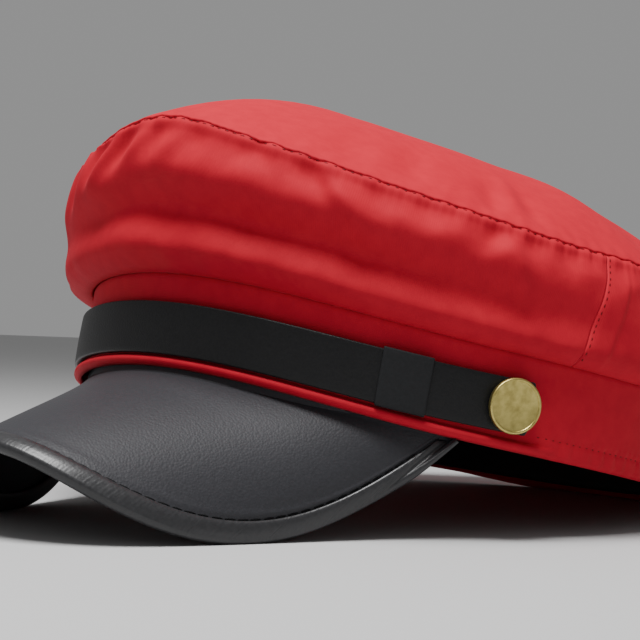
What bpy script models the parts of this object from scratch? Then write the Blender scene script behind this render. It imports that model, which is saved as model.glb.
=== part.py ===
"""Cadet cap: a soft cloth crown and band, a leather strap with two brass buttons and a curved peak.

Metres, +Z up. The cap is modelled with the hem of its band level and the peak towards -Y, and then stands
as a cap does on a table: on the two low sides of the peak and on the back of the hem.
"""
import math
from typing import NamedTuple

import bmesh
import bpy
from mathutils import Matrix, Vector

# Clearance between two sewn or stacked pieces
GAP = 0.0003

# Oval of the head band, at the outside of its hem
BAND_HALF_WIDTH = 0.0894
BAND_HALF_LENGTH = 0.1007
BAND_HEIGHT = 0.0241
BAND_WALL = 0.0016
BAND_LEAN = 0.091
HEM_ROLL = 0.0022
STRAP_PRESS = 0.0006

# The hem rises over the forehead
ARCH_RISE = 0.0058
ARCH_HALF_ANGLE = math.radians(65.4)
ARCH_POWER = 1.63

# Crown: side panels from the band to the rim, and a domed top panel
RIM_HALF_WIDTH = 0.0905
RIM_FRONT_LENGTH = 0.118
RIM_BACK_LENGTH = 0.1075
RIM_SHIFT = 0.0025
RIM_HEIGHT = 0.0675
CROWN_WALL = 0.0016
CROWN_BULGE = 0.0056
RIM_LAP = 0.82
SIDE_SEAM = math.radians(67.0)
DOME_RISE = 0.0268
DOME_POWER = 3.2
DOME_CENTRE = Vector((0.0, -0.0055, 0.0582))

# Strap, its keeper and its buttons
STRAP_WIDTH = 0.0136
STRAP_WALL = 0.0016
STRAP_HEIGHT = 0.0031
STRAP_LIFT = 0.0012
KEEPER_ANGLE = math.radians(38.0)
KEEPER_WIDTH = 0.0125
KEEPER_WALL = 0.0007
BUTTON_ANGLE = math.radians(54.8)
BUTTON_RADIUS = 0.0071
BUTTON_THICKNESS = 0.0018
BUTTON_LIP = 0.0008
POST_RADIUS = 0.0016
STRAP_END = 0.0062

# Peak, with a sewn tab that goes up inside the band, and the binding round its edge
PEAK_REACH = 0.0575
PEAK_ROUNDNESS = 2.34
PEAK_FALLOFF = 0.456
PEAK_END = 0.002
PEAK_HALF_ANGLE = math.radians(46.9)
PEAK_WALL = 0.0014
PEAK_SLOPE = math.radians(26.5)
PEAK_DROOP = math.radians(75.5)
PEAK_DROOP_EASE = math.radians(46.6)
PEAK_NARROWING = 1.08
PEAK_LEAN = math.radians(5.0)
TAB_HEIGHT = 0.005
BINDING_WIDTH = 0.0042
BINDING_WALL = 0.0008

# Sweatband inside the band
SWEAT_WALL = 0.001
SWEAT_HEIGHT = 0.029
SWEAT_LIFT = 0.0012

# How far the cloth of the hem is pressed flat by the cap's weight
FOOT_PRESS = 0.0012

AROUND = 80
FRONT_STEPS = 34
BACK_STEPS = 46
PEAK_STEPS = 34
STRAP_STEPS = 32
BUTTON_STEPS = 24


class Row(NamedTuple):
    """A row of a smooth table: a share of the way along, and the value there."""

    at: float
    value: float


class Fold(NamedTuple):
    """A dent (negative depth) or gather (positive) of the crown's side, in degrees and shares of its height."""

    angle: float
    height: float
    half_angle: float
    half_height: float
    slant: float
    depth: float


class Finish(NamedTuple):
    """Colour, roughness and metallic value of a material."""

    colour: tuple
    roughness: float
    metallic: float


# Height of the rim by angle from the front, as shares of RIM_HEIGHT
RIM_ROWS = (
    Row(0.0, 1.0),
    Row(15.0, 0.965),
    Row(30.0, 0.888),
    Row(45.0, 0.83),
    Row(60.0, 0.818),
    Row(75.0, 0.828),
    Row(90.0, 0.815),
    Row(120.0, 0.775),
    Row(150.0, 0.75),
    Row(180.0, 0.745),
)

# Fullness of the crown's side from the band up to the rim, as shares of CROWN_BULGE
BULGE_ROWS = (
    Row(0.0, 0.0),
    Row(0.12, 0.84),
    Row(0.3, 0.96),
    Row(0.5, 1.0),
    Row(0.75, 0.58),
    Row(1.0, 0.0),
)

# Relief of the band from the hem up to the pressed stretch, as shares of HEM_ROLL and of STRAP_PRESS
HEM_ROWS = (
    Row(0.0, 0.3),
    Row(0.25, 0.0),
    Row(0.7, 0.0),
    Row(1.0, 1.0),
)

# Gathers and hollows of the crown's side, depth as shares of CROWN_BULGE
FOLDS = (
    Fold(angle=-2.0, height=0.86, half_angle=4.5, half_height=0.2, slant=9.0, depth=-0.3),
    Fold(angle=8.0, height=0.84, half_angle=4.0, half_height=0.22, slant=8.0, depth=0.22),
    Fold(angle=15.0, height=0.8, half_angle=4.5, half_height=0.22, slant=8.0, depth=-0.3),
    Fold(angle=31.0, height=0.82, half_angle=5.0, half_height=0.2, slant=5.0, depth=-0.22),
    Fold(angle=40.0, height=0.42, half_angle=22.0, half_height=0.2, slant=0.0, depth=-0.36),
    Fold(angle=53.0, height=0.84, half_angle=5.0, half_height=0.18, slant=-4.0, depth=-0.25),
    Fold(angle=74.0, height=0.5, half_angle=4.0, half_height=0.4, slant=0.0, depth=0.2),
    Fold(angle=-28.0, height=0.8, half_angle=5.0, half_height=0.22, slant=-6.0, depth=-0.28),
    Fold(angle=-42.0, height=0.45, half_angle=20.0, half_height=0.22, slant=0.0, depth=-0.25),
    Fold(angle=-58.0, height=0.82, half_angle=5.0, half_height=0.2, slant=5.0, depth=-0.22),
    Fold(angle=104.0, height=0.75, half_angle=6.0, half_height=0.25, slant=-5.0, depth=-0.25),
    Fold(angle=138.0, height=0.5, half_angle=16.0, half_height=0.25, slant=0.0, depth=-0.3),
    Fold(angle=176.0, height=0.78, half_angle=6.0, half_height=0.25, slant=5.0, depth=-0.25),
    Fold(angle=-112.0, height=0.7, half_angle=7.0, half_height=0.25, slant=5.0, depth=-0.25),
    Fold(angle=-146.0, height=0.45, half_angle=16.0, half_height=0.25, slant=0.0, depth=-0.3),
)

RED_CLOTH = Finish(colour=(0.52, 0.02, 0.03), roughness=0.65, metallic=0.0)
BLACK_LEATHER = Finish(colour=(0.03, 0.03, 0.034), roughness=0.5, metallic=0.0)
GREY_LEATHER = Finish(colour=(0.05, 0.05, 0.055), roughness=0.45, metallic=0.0)
INNER_BLACK = Finish(colour=(0.01, 0.01, 0.011), roughness=0.8, metallic=0.0)
OLD_BRASS = Finish(colour=(0.42, 0.33, 0.13), roughness=0.35, metallic=1.0)

BAND_PRESSED = -STRAP_PRESS
STRAP_OUT = BAND_PRESSED + 2.0 * GAP + KEEPER_WALL
BUTTON_OUT = STRAP_OUT + STRAP_WALL + GAP
TAB_OUT = BAND_PRESSED - BAND_WALL - GAP
SWEAT_OUT = TAB_OUT - PEAK_WALL - GAP


def smooth(rows, at):
    """Read a table at a place between its rows, with a smooth curve through them."""
    last = len(rows) - 1
    at = min(max(at, rows[0].at), rows[last].at)
    index = 0
    while index < last - 1 and at > rows[index + 1].at:
        index += 1
    here, there = rows[index], rows[index + 1]
    before = rows[max(index - 1, 0)]
    after = rows[min(index + 2, last)]
    span = there.at - here.at
    leave = (there.value - before.value) / (there.at - before.at) * span
    reach = (after.value - here.value) / (after.at - here.at) * span
    k = (at - here.at) / span
    rise = k * k * (3.0 - 2.0 * k)
    bend = leave * k * (1.0 - k) ** 2 - reach * k * k * (1.0 - k)
    return here.value + (there.value - here.value) * rise + bend


def fade(edge, end, at):
    """Go from 1 at edge to 0 at end with a soft step."""
    k = min(max((end - at) / (end - edge), 0.0), 1.0)
    return k * k * (3.0 - 2.0 * k)


def oval_radius(angle, half_width, half_length):
    """Radius of an oval at an angle from the front."""
    return 1.0 / math.hypot(math.sin(angle) / half_width, math.cos(angle) / half_length)


def polar(angle, radius, height):
    """Place a point round the cap: angle 0 is the front, positive angles are at +X."""
    return Vector((radius * math.sin(angle), -radius * math.cos(angle), height))


def arch(angle):
    """Rise of the hem over the forehead."""
    if abs(angle) >= ARCH_HALF_ANGLE:
        return 0.0
    wave = 0.5 + 0.5 * math.cos(math.pi * angle / ARCH_HALF_ANGLE)
    return ARCH_RISE * wave ** ARCH_POWER


def head_point(angle, height, out):
    """Point at a height above the hem, and so far out from the band's outer face."""
    lifted = height + arch(angle)
    radius = oval_radius(angle, BAND_HALF_WIDTH, BAND_HALF_LENGTH)
    return polar(angle, radius + BAND_LEAN * lifted + out, lifted)


def head_normal(angle, height, out):
    """Outward normal of the band's face at a point."""
    step = 0.001
    along = head_point(angle + step, height, out) - head_point(angle - step, height, out)
    up = head_point(angle, height + step, out) - head_point(angle, height - step, out)
    return along.cross(up).normalized()


def strap_low(angle):
    """Height of the strap's lower edge above the hem."""
    return STRAP_HEIGHT + STRAP_LIFT * (angle / BUTTON_ANGLE) ** 2


def strap_end_angle():
    """Angle at which the strap's square ends lie, just past the buttons."""
    radius = head_point(BUTTON_ANGLE, strap_low(BUTTON_ANGLE), STRAP_OUT).xy.length
    return BUTTON_ANGLE + STRAP_END / radius


def band_out(angle, height):
    """Relief of the band: a rolled hem, and a stretch that the strap presses in."""
    share = smooth(HEM_ROWS, height / HEM_ROLL)
    if height > HEM_ROLL:
        share = fade(strap_low(0.0) + STRAP_WIDTH, BAND_HEIGHT, height)
    end = strap_end_angle()
    if height > 0.5 * HEM_ROLL:
        share *= fade(end, end + math.radians(9.0), abs(angle))
    return -STRAP_PRESS * share


def band_point(angle, share):
    """Point on the outer face of the band, the share is of its height."""
    height = share * BAND_HEIGHT
    return head_point(angle, height, band_out(angle, height))


def rim_point(angle):
    """Point on the seam between the crown's side and its top."""
    half_length = RIM_FRONT_LENGTH if math.cos(angle) > 0.0 else RIM_BACK_LENGTH
    radius = oval_radius(angle, RIM_HALF_WIDTH, half_length)
    height = RIM_HEIGHT * smooth(RIM_ROWS, abs(math.degrees(angle)))
    return polar(angle, radius, height) + Vector((0.0, RIM_SHIFT, 0.0))


def fold_depth(angle, share):
    """Sum of the gathers and hollows at a place on the crown's side."""
    depth = 0.0
    for fold in FOLDS:
        turn = math.degrees(angle) - fold.angle - fold.slant * (share - fold.height)
        turn = (turn + 180.0) % 360.0 - 180.0
        across = turn / fold.half_angle
        along = (share - fold.height) / fold.half_height
        depth += fold.depth * math.exp(-across * across - along * along)
    return depth * CROWN_BULGE


def side_point(angle, share):
    """Point on the outer face of the crown's side, the share goes from the band up to the rim."""
    low = head_point(angle, BAND_HEIGHT + GAP, 0.0)
    place = low.lerp(rim_point(angle), share)
    out = CROWN_BULGE * smooth(BULGE_ROWS, share)
    out += fold_depth(angle, share) * math.sin(math.pi * share)
    return place + polar(angle, out, 0.0)


def side_end_share(angle):
    """Share at which the side panel stops so that the top panel's wall lies over it."""
    height = (rim_point(angle) - head_point(angle, BAND_HEIGHT, 0.0)).z
    return 1.0 - (RIM_LAP * CROWN_WALL + GAP) / height


def top_point(angle, share):
    """Point on the outer face of the crown's top, the share goes from its middle to the rim."""
    middle = DOME_CENTRE
    place = middle.lerp(rim_point(angle), share)
    place.z += DOME_RISE * (1.0 - share ** DOME_POWER)
    return place


def peak_edge(t):
    """Point on the peak's outer edge, t goes from -1 at one end to 1 at the other."""
    angle = PEAK_HALF_ANGLE * t
    slope = PEAK_SLOPE + PEAK_DROOP * t ** 2 - PEAK_DROOP_EASE * t ** 4 - PEAK_LEAN * t
    reach = PEAK_REACH * (1.0 - abs(t) ** PEAK_ROUNDNESS) ** PEAK_FALLOFF + PEAK_END
    turn = -PEAK_NARROWING * t ** 2 * angle
    level = math.cos(slope) * reach
    way = Vector((math.sin(turn) * level, -math.cos(turn) * level, -math.sin(slope) * reach))
    return head_point(angle, -GAP, 0.0) + way


def peak_point(t, share):
    """Point on the upper face of the peak, the share goes from the band to the edge."""
    start = head_point(PEAK_HALF_ANGLE * t, -GAP, TAB_OUT)
    return start.lerp(peak_edge(t), share)


def peak_share(u):
    """Share along the peak for a share of its sheet, closer together towards the ends."""
    return math.sin(0.5 * math.pi * (2.0 * u - 1.0))


def peak_slopes(t, share):
    """Change of the peak's face with t and with the share."""
    step = 0.002
    before, after = max(t - step, -1.0), min(t + step, 1.0)
    low, high = share - step, share + step
    along = (peak_point(after, share) - peak_point(before, share)) / (after - before)
    down = (peak_point(t, high) - peak_point(t, low)) / (high - low)
    return along, down


def peak_normal(t, share):
    """Normal of the peak's upper face."""
    along, down = peak_slopes(t, share)
    return down.cross(along).normalized()


def binding_point(t, inset, rise):
    """Point over the peak's face, so far in from its edge and so far above its upper face."""
    along, down = peak_slopes(t, 1.0)
    normal = down.cross(along).normalized()
    if inset <= 0.0:
        outward = along.cross(normal).normalized()
        return peak_point(t, 1.0) - outward * inset + normal * rise
    share = 1.0 - inset / edge_distance(t)
    return peak_point(t, share) + peak_normal(t, share) * rise


def edge_distance(t):
    """Distance from the peak's edge, square to it, back to where the peak meets the band."""
    along, down = peak_slopes(t, 1.0)
    return along.cross(down).length / along.length


def binding_leaf(t):
    """Width of the binding's leaves, less where the peak runs out at its ends."""
    return min(BINDING_WIDTH, 0.45 * edge_distance(t))


def clear_scene():
    """Remove every object that the scene starts with."""
    for item in list(bpy.data.objects):
        bpy.data.objects.remove(item, do_unlink=True)


def make_collection(name):
    """Add a collection under the scene."""
    collection = bpy.data.collections.new(name)
    bpy.context.scene.collection.children.link(collection)
    return collection


def make_material(name, finish):
    """Add a Principled material."""
    material = bpy.data.materials.new(name)
    material.use_nodes = True
    shader = material.node_tree.nodes["Principled BSDF"]
    shader.inputs["Base Color"].default_value = (*finish.colour, 1.0)
    shader.inputs["Roughness"].default_value = finish.roughness
    shader.inputs["Metallic"].default_value = finish.metallic
    return material


def add_object(name, bm, finish, collection):
    """Turn a bmesh into a named object with its own material."""
    mesh = bpy.data.meshes.new(name)
    bm.to_mesh(mesh)
    bm.free()
    mesh.materials.append(make_material(name, finish))
    item = bpy.data.objects.new(name, mesh)
    collection.objects.link(item)
    return item


def make_sheet(columns, rows, place):
    """Shape a grid into a sheet, place(u, v) gives the point at shares u and v of its sides."""
    bm = bmesh.new()
    bmesh.ops.create_grid(bm, x_segments=columns, y_segments=rows, size=1.0)
    for vert in bm.verts:
        vert.co = place(0.5 * (vert.co.x + 1.0), 0.5 * (vert.co.y + 1.0))
    bmesh.ops.remove_doubles(bm, verts=bm.verts[:], dist=0.00001)
    return bm


def thicken(item, wall, outward):
    """Give a sheet its wall, on the side its faces look to or on the other side."""
    solid = item.modifiers.new("wall", "SOLIDIFY")
    solid.thickness = wall
    solid.offset = 1.0 if outward else -1.0
    solid.use_even_offset = True
    solid.use_quality_normals = True
    return solid


def apply_modifiers(item):
    """Make the modifiers part of the mesh."""
    bpy.context.view_layer.objects.active = item
    for modifier in list(item.modifiers):
        bpy.ops.object.modifier_apply(modifier=modifier.name)


def angle_at(share, start, end):
    """Angle at a share of the way from start to end."""
    return start + (end - start) * share


def row_at(values, share):
    """Pick the value for a row of a sheet whose rows are evenly shared out."""
    return values[round(share * (len(values) - 1))]


def build_crown_top(collection):
    """Domed top panel."""
    shares = (1.0, 0.94, 0.84, 0.68, 0.48, 0.25, 0.0)

    def place(u, v):
        return top_point(angle_at(u, -math.pi, math.pi), row_at(shares, v))

    bm = make_sheet(AROUND, len(shares) - 1, place)
    item = add_object("crown_top", bm, RED_CLOTH, collection)
    thicken(item, CROWN_WALL, outward=False)
    return item


def build_crown_side(name, start, end, steps, collection):
    """One panel of the crown's side, between two seams."""
    shares = (0.0, 0.06, 0.14, 0.28, 0.44, 0.6, 0.76, 0.89, 1.0)
    half_gap = 0.5 * GAP / BAND_HALF_WIDTH

    def place(u, v):
        angle = angle_at(u, start + half_gap, end - half_gap)
        turned = (angle + math.pi) % (2.0 * math.pi) - math.pi
        return side_point(turned, row_at(shares, v) * side_end_share(turned))

    bm = make_sheet(steps, len(shares) - 1, place)
    item = add_object(name, bm, RED_CLOTH, collection)
    thicken(item, CROWN_WALL, outward=False)
    return item


def build_band(cutters, collection):
    """Head band with its rolled hem and the holes of the buttons' posts."""
    hem = HEM_ROLL / BAND_HEIGHT
    shares = (0.0, 0.25 * hem, 0.7 * hem, hem, 0.5, 0.72, 0.86, 1.0)

    def place(u, v):
        return band_point(angle_at(u, -math.pi, math.pi), row_at(shares, v))

    bm = make_sheet(AROUND, len(shares) - 1, place)
    item = add_object("band", bm, RED_CLOTH, collection)
    thicken(item, BAND_WALL, outward=False)
    cut_holes(item, cutters)
    apply_modifiers(item)
    return item


def build_sweatband(collection):
    """Inner band that touches the head."""

    def place(u, v):
        angle = angle_at(u, -math.pi, math.pi)
        return head_point(angle, SWEAT_LIFT + v * SWEAT_HEIGHT, SWEAT_OUT)

    bm = make_sheet(AROUND, 2, place)
    item = add_object("sweatband", bm, INNER_BLACK, collection)
    thicken(item, SWEAT_WALL, outward=False)
    return item


def build_strap(cutters, collection):
    """Strap over the band, with square ends just past the buttons."""
    end = strap_end_angle()

    def place(u, v):
        angle = angle_at(u, -end, end)
        return head_point(angle, strap_low(angle) + v * STRAP_WIDTH, STRAP_OUT)

    item = add_object("strap", make_sheet(STRAP_STEPS, 2, place), BLACK_LEATHER, collection)
    thicken(item, STRAP_WALL, outward=True)
    cut_holes(item, cutters)
    return item


def build_keeper(collection):
    """Flat loop round the strap."""
    low, high = -GAP, STRAP_WIDTH + GAP
    near, far = STRAP_OUT - GAP, STRAP_OUT + STRAP_WALL + GAP
    loop = ((low, near), (low, far), (high, far), (high, near), (low, near))
    half = 0.5 * KEEPER_WIDTH / head_point(KEEPER_ANGLE, STRAP_HEIGHT, STRAP_OUT).xy.length

    def place(u, v):
        angle = angle_at(u, KEEPER_ANGLE - half, KEEPER_ANGLE + half)
        height, out = row_at(loop, v)
        return head_point(angle, strap_low(angle) + height, out)

    bm = make_sheet(5, len(loop) - 1, place)
    item = add_object("strap_keeper", bm, BLACK_LEATHER, collection)
    thicken(item, KEEPER_WALL, outward=True)
    return item


def button_frame(side):
    """Place and turn of a button: its axis along the band's normal, its back on the strap."""
    angle = side * BUTTON_ANGLE
    height = strap_low(angle) + 0.5 * STRAP_WIDTH
    turn = head_normal(angle, height, BUTTON_OUT).to_track_quat("Z", "Y").to_matrix().to_4x4()
    return Matrix.Translation(head_point(angle, height, BUTTON_OUT)) @ turn


def build_button(name, side, collection):
    """Turned brass head with a lip, and the plain post that goes through the strap and the band."""
    post = BUTTON_OUT - BAND_PRESSED + BAND_WALL
    radius, lip, top = BUTTON_RADIUS, BUTTON_LIP, BUTTON_THICKNESS
    profile = (
        (0.0, -post),
        (POST_RADIUS, -post),
        (POST_RADIUS, 0.0),
        (radius - 0.5 * lip, 0.0),
        (radius, 0.5 * lip),
        (radius, top - 0.5 * lip),
        (radius - 0.3 * lip, top),
        (radius - lip, top),
        (radius - 1.6 * lip, top - 0.4 * lip),
        (0.0, top - 0.4 * lip),
    )
    bm = bmesh.new()
    verts = [bm.verts.new((out, 0.0, height)) for out, height in profile]
    for here, there in zip(verts, verts[1:]):
        bm.edges.new((here, there))
    item = add_object(name, bm, OLD_BRASS, collection)
    screw = item.modifiers.new("turn", "SCREW")
    screw.steps = BUTTON_STEPS
    screw.render_steps = BUTTON_STEPS
    screw.use_merge_vertices = True
    screw.merge_threshold = 0.00001
    screw.use_normal_calculate = True
    item.matrix_world = button_frame(side)
    return item


def build_cutter(name, side, collection):
    """Cylinder that cuts a post's hole."""
    reach = 4.0 * (BUTTON_OUT + BAND_WALL)
    bm = bmesh.new()
    bmesh.ops.create_cone(
        bm,
        cap_ends=True,
        segments=12,
        radius1=POST_RADIUS + GAP,
        radius2=POST_RADIUS + GAP,
        depth=reach,
    )
    item = add_object(name, bm, OLD_BRASS, collection)
    item.matrix_world = button_frame(side)
    item.display_type = "WIRE"
    item.hide_render = True
    return item


def cut_holes(item, cutters):
    """Cut the posts' holes."""
    for cutter in cutters:
        cut = item.modifiers.new(cutter.name, "BOOLEAN")
        cut.operation = "DIFFERENCE"
        cut.solver = "EXACT"
        cut.object = cutter


def build_peak(collection):
    """Curved peak with the tab that is sewn up inside the band."""
    shares = (0.0, 0.12, 0.3, 0.5, 0.7, 0.86, 1.0)
    rows = len(shares)

    def place(u, v):
        t = peak_share(u)
        row = round(v * rows)
        if row == 0:
            return head_point(PEAK_HALF_ANGLE * t, TAB_HEIGHT, TAB_OUT)
        return peak_point(t, shares[row - 1])

    bm = make_sheet(PEAK_STEPS, rows, place)
    bmesh.ops.reverse_faces(bm, faces=bm.faces[:])
    item = add_object("peak", bm, GREY_LEATHER, collection)
    thicken(item, PEAK_WALL, outward=False)
    return item


def build_binding(collection):
    """Leather binding folded over the peak's edge."""
    over, under = GAP, -PEAK_WALL - GAP
    turned = -1.5 * GAP
    section = (
        (1.0, 0.0, over),
        (0.5, 0.0, over),
        (0.0, 0.0, over),
        (0.0, turned, 0.1 * under),
        (0.0, turned, 0.9 * under),
        (0.0, 0.0, under),
        (0.5, 0.0, under),
        (1.0, 0.0, under),
    )

    def place(u, v):
        t = peak_share(u)
        share, beyond, rise = row_at(section, v)
        return binding_point(t, beyond + share * binding_leaf(t), rise)

    bm = make_sheet(PEAK_STEPS, len(section) - 1, place)
    bmesh.ops.reverse_faces(bm, faces=bm.faces[:])
    item = add_object("peak_binding", bm, BLACK_LEATHER, collection)
    thicken(item, BINDING_WALL, outward=True)
    apply_modifiers(item)
    return item


def resting_frame(front, back):
    """Turn and lift that stand the cap on both sides of its peak and the back of its hem."""
    up = Vector((0.0, 0.0, 1.0))
    for _ in range(8):
        left = min((point for point in front if point.x > 0.0), key=up.dot)
        right = min((point for point in front if point.x < 0.0), key=up.dot)
        rear = min(back, key=up.dot)
        up = (left - rear).cross(right - rear).normalized()
        if up.z < 0.0:
            up.negate()
    turn = up.rotation_difference(Vector((0.0, 0.0, 1.0))).to_matrix().to_4x4()
    return Matrix.Translation((0.0, 0.0, -(turn @ rear).z)) @ turn


def flatten_hem(item, frame):
    """Press the lowest stretch of the hem flat on the table, and ease it back above."""
    back = frame.inverted()
    eased = 3.0 * FOOT_PRESS
    for vert in item.data.vertices:
        place = frame @ vert.co
        if place.y > 0.0 and place.z < eased:
            place.z = max(place.z - FOOT_PRESS, 0.0) * eased / (eased - FOOT_PRESS)
            vert.co = back @ place


def outline_middle(pieces):
    """Middle of the cap's outline on the table."""
    graph = bpy.context.evaluated_depsgraph_get()
    places = []
    for piece in pieces:
        shown = piece.evaluated_get(graph)
        places += [shown.matrix_world @ vert.co for vert in shown.data.vertices]
    low = Vector((min(place.x for place in places), min(place.y for place in places), 0.0))
    high = Vector((max(place.x for place in places), max(place.y for place in places), 0.0))
    return 0.5 * (low + high)


def build_cap():
    """Build every piece and stand the cap on its table."""
    clear_scene()
    collection = make_collection("cadet_cap")
    cutter_collection = make_collection("cutters")
    cutter_collection.hide_render = True
    cutters = [
        build_cutter("post_hole_left", 1, cutter_collection),
        build_cutter("post_hole_right", -1, cutter_collection),
    ]
    bpy.context.view_layer.update()
    turn = 2.0 * math.pi
    binding = build_binding(collection)
    band = build_band(cutters, collection)
    pieces = [
        binding,
        band,
        build_peak(collection),
        build_crown_top(collection),
        build_crown_side("crown_side_front", -SIDE_SEAM, SIDE_SEAM, FRONT_STEPS, collection),
        build_crown_side("crown_side_back", SIDE_SEAM, turn - SIDE_SEAM, BACK_STEPS, collection),
        build_sweatband(collection),
        build_strap(cutters, collection),
        build_keeper(collection),
        build_button("button_left", 1, collection),
        build_button("button_right", -1, collection),
    ]
    front = [vert.co.copy() for vert in binding.data.vertices]
    back = [vert.co.copy() for vert in band.data.vertices if vert.co.y > 0.0]
    frame = resting_frame(front, back)
    flatten_hem(band, frame)
    stand = bpy.data.objects.new("cap_stand", None)
    collection.objects.link(stand)
    for piece in pieces + cutters:
        piece.parent = stand
    stand.matrix_world = frame
    bpy.context.view_layer.update()
    stand.matrix_world = Matrix.Translation(-outline_middle(pieces)) @ frame
    bpy.context.view_layer.update()


if __name__ == "__main__":
    build_cap()
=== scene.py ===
"""Looks of a soft red cadet cap: cloth crown and band, leather strap and peak, brass buttons.

Metres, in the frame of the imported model. Each piece is shaped in the cap's own upright frame, with the hem of
the band level and the peak towards -Y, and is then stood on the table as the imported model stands.
"""

import logging
import math
from collections.abc import Sequence
from dataclasses import dataclass, field
from enum import Enum
from typing import NamedTuple

import bpy
import numpy as np
from mathutils import Matrix, Vector


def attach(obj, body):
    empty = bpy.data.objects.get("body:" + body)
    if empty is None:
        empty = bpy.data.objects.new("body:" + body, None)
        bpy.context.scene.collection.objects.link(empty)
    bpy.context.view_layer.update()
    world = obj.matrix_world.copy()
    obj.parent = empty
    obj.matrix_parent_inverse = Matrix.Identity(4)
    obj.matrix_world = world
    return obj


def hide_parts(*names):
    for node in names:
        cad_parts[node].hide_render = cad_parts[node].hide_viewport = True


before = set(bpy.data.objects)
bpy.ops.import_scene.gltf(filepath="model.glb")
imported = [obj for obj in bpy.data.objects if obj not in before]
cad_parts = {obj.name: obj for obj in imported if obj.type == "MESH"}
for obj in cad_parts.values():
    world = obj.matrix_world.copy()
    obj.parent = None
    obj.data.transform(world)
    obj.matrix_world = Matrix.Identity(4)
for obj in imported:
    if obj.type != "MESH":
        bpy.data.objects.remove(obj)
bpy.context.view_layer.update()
LOG = logging.getLogger("cadet_cap")

Points = np.ndarray
Numbers = np.ndarray
Colour = tuple[float, float, float]
Socket = bpy.types.NodeSocket

# How the cap stands on the table: the direction that is up for it, and the middle of its hem's plane
STAND_UP = Vector((-0.046829, -0.169878, 0.984352))
STAND_PLACE = Vector((-0.001698, 0.020041, 0.017575))
FOOT_PRESS = 0.0012

# Clearance between two sewn or stacked pieces
GAP = 0.0003


class Row(NamedTuple):
    """A row of a smooth table: a share of the way along, and the value there."""

    at: float
    value: float


class Fold(NamedTuple):
    """A hollow (negative depth) or ridge (positive) in cloth, in degrees and shares of its height."""

    angle: float
    height: float
    half_angle: float
    half_height: float
    slant: float
    depth: float


class Panel(Enum):
    """The crown's side panels, with the node that each stands for and its slot."""

    FRONT = ("crown_side_front", "red_cloth_front")
    BACK = ("crown_side_back", "red_cloth_back")


class Side(Enum):
    """The wearer's left and right, with the sign of the angle from the front."""

    LEFT = 1
    RIGHT = -1


# Height of the rim by angle from the front, as shares of Crown.rim_height
RIM_ROWS = (
    Row(0.0, 1.0),
    Row(15.0, 0.928),
    Row(30.0, 0.857),
    Row(45.0, 0.818),
    Row(60.0, 0.802),
    Row(75.0, 0.812),
    Row(90.0, 0.79),
    Row(120.0, 0.75),
    Row(150.0, 0.725),
    Row(180.0, 0.72),
)

# Fullness of the crown's side from the band up to the rim, as shares of Crown.bulge
BULGE_ROWS = (
    Row(0.0, 0.05),
    Row(0.02, 0.2),
    Row(0.05, 0.4),
    Row(0.1, 0.64),
    Row(0.17, 0.84),
    Row(0.3, 0.92),
    Row(0.5, 0.91),
    Row(0.75, 0.67),
    Row(0.9, 0.3),
    Row(0.965, 0.18),
    Row(1.0, 0.0),
)

# How far the crown's side hangs down over the band, as shares of Crown.overhang
OVERHANG_ROWS = (
    Row(0.0, 0.0),
    Row(0.03, 0.75),
    Row(0.07, 1.0),
    Row(0.16, 0.55),
    Row(0.32, 0.12),
    Row(0.5, 0.0),
    Row(1.0, 0.0),
)

# Waves of the cloth beside the rim: fewest, most and seed
RIM_WAVES = (60, 130, 11)

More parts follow.
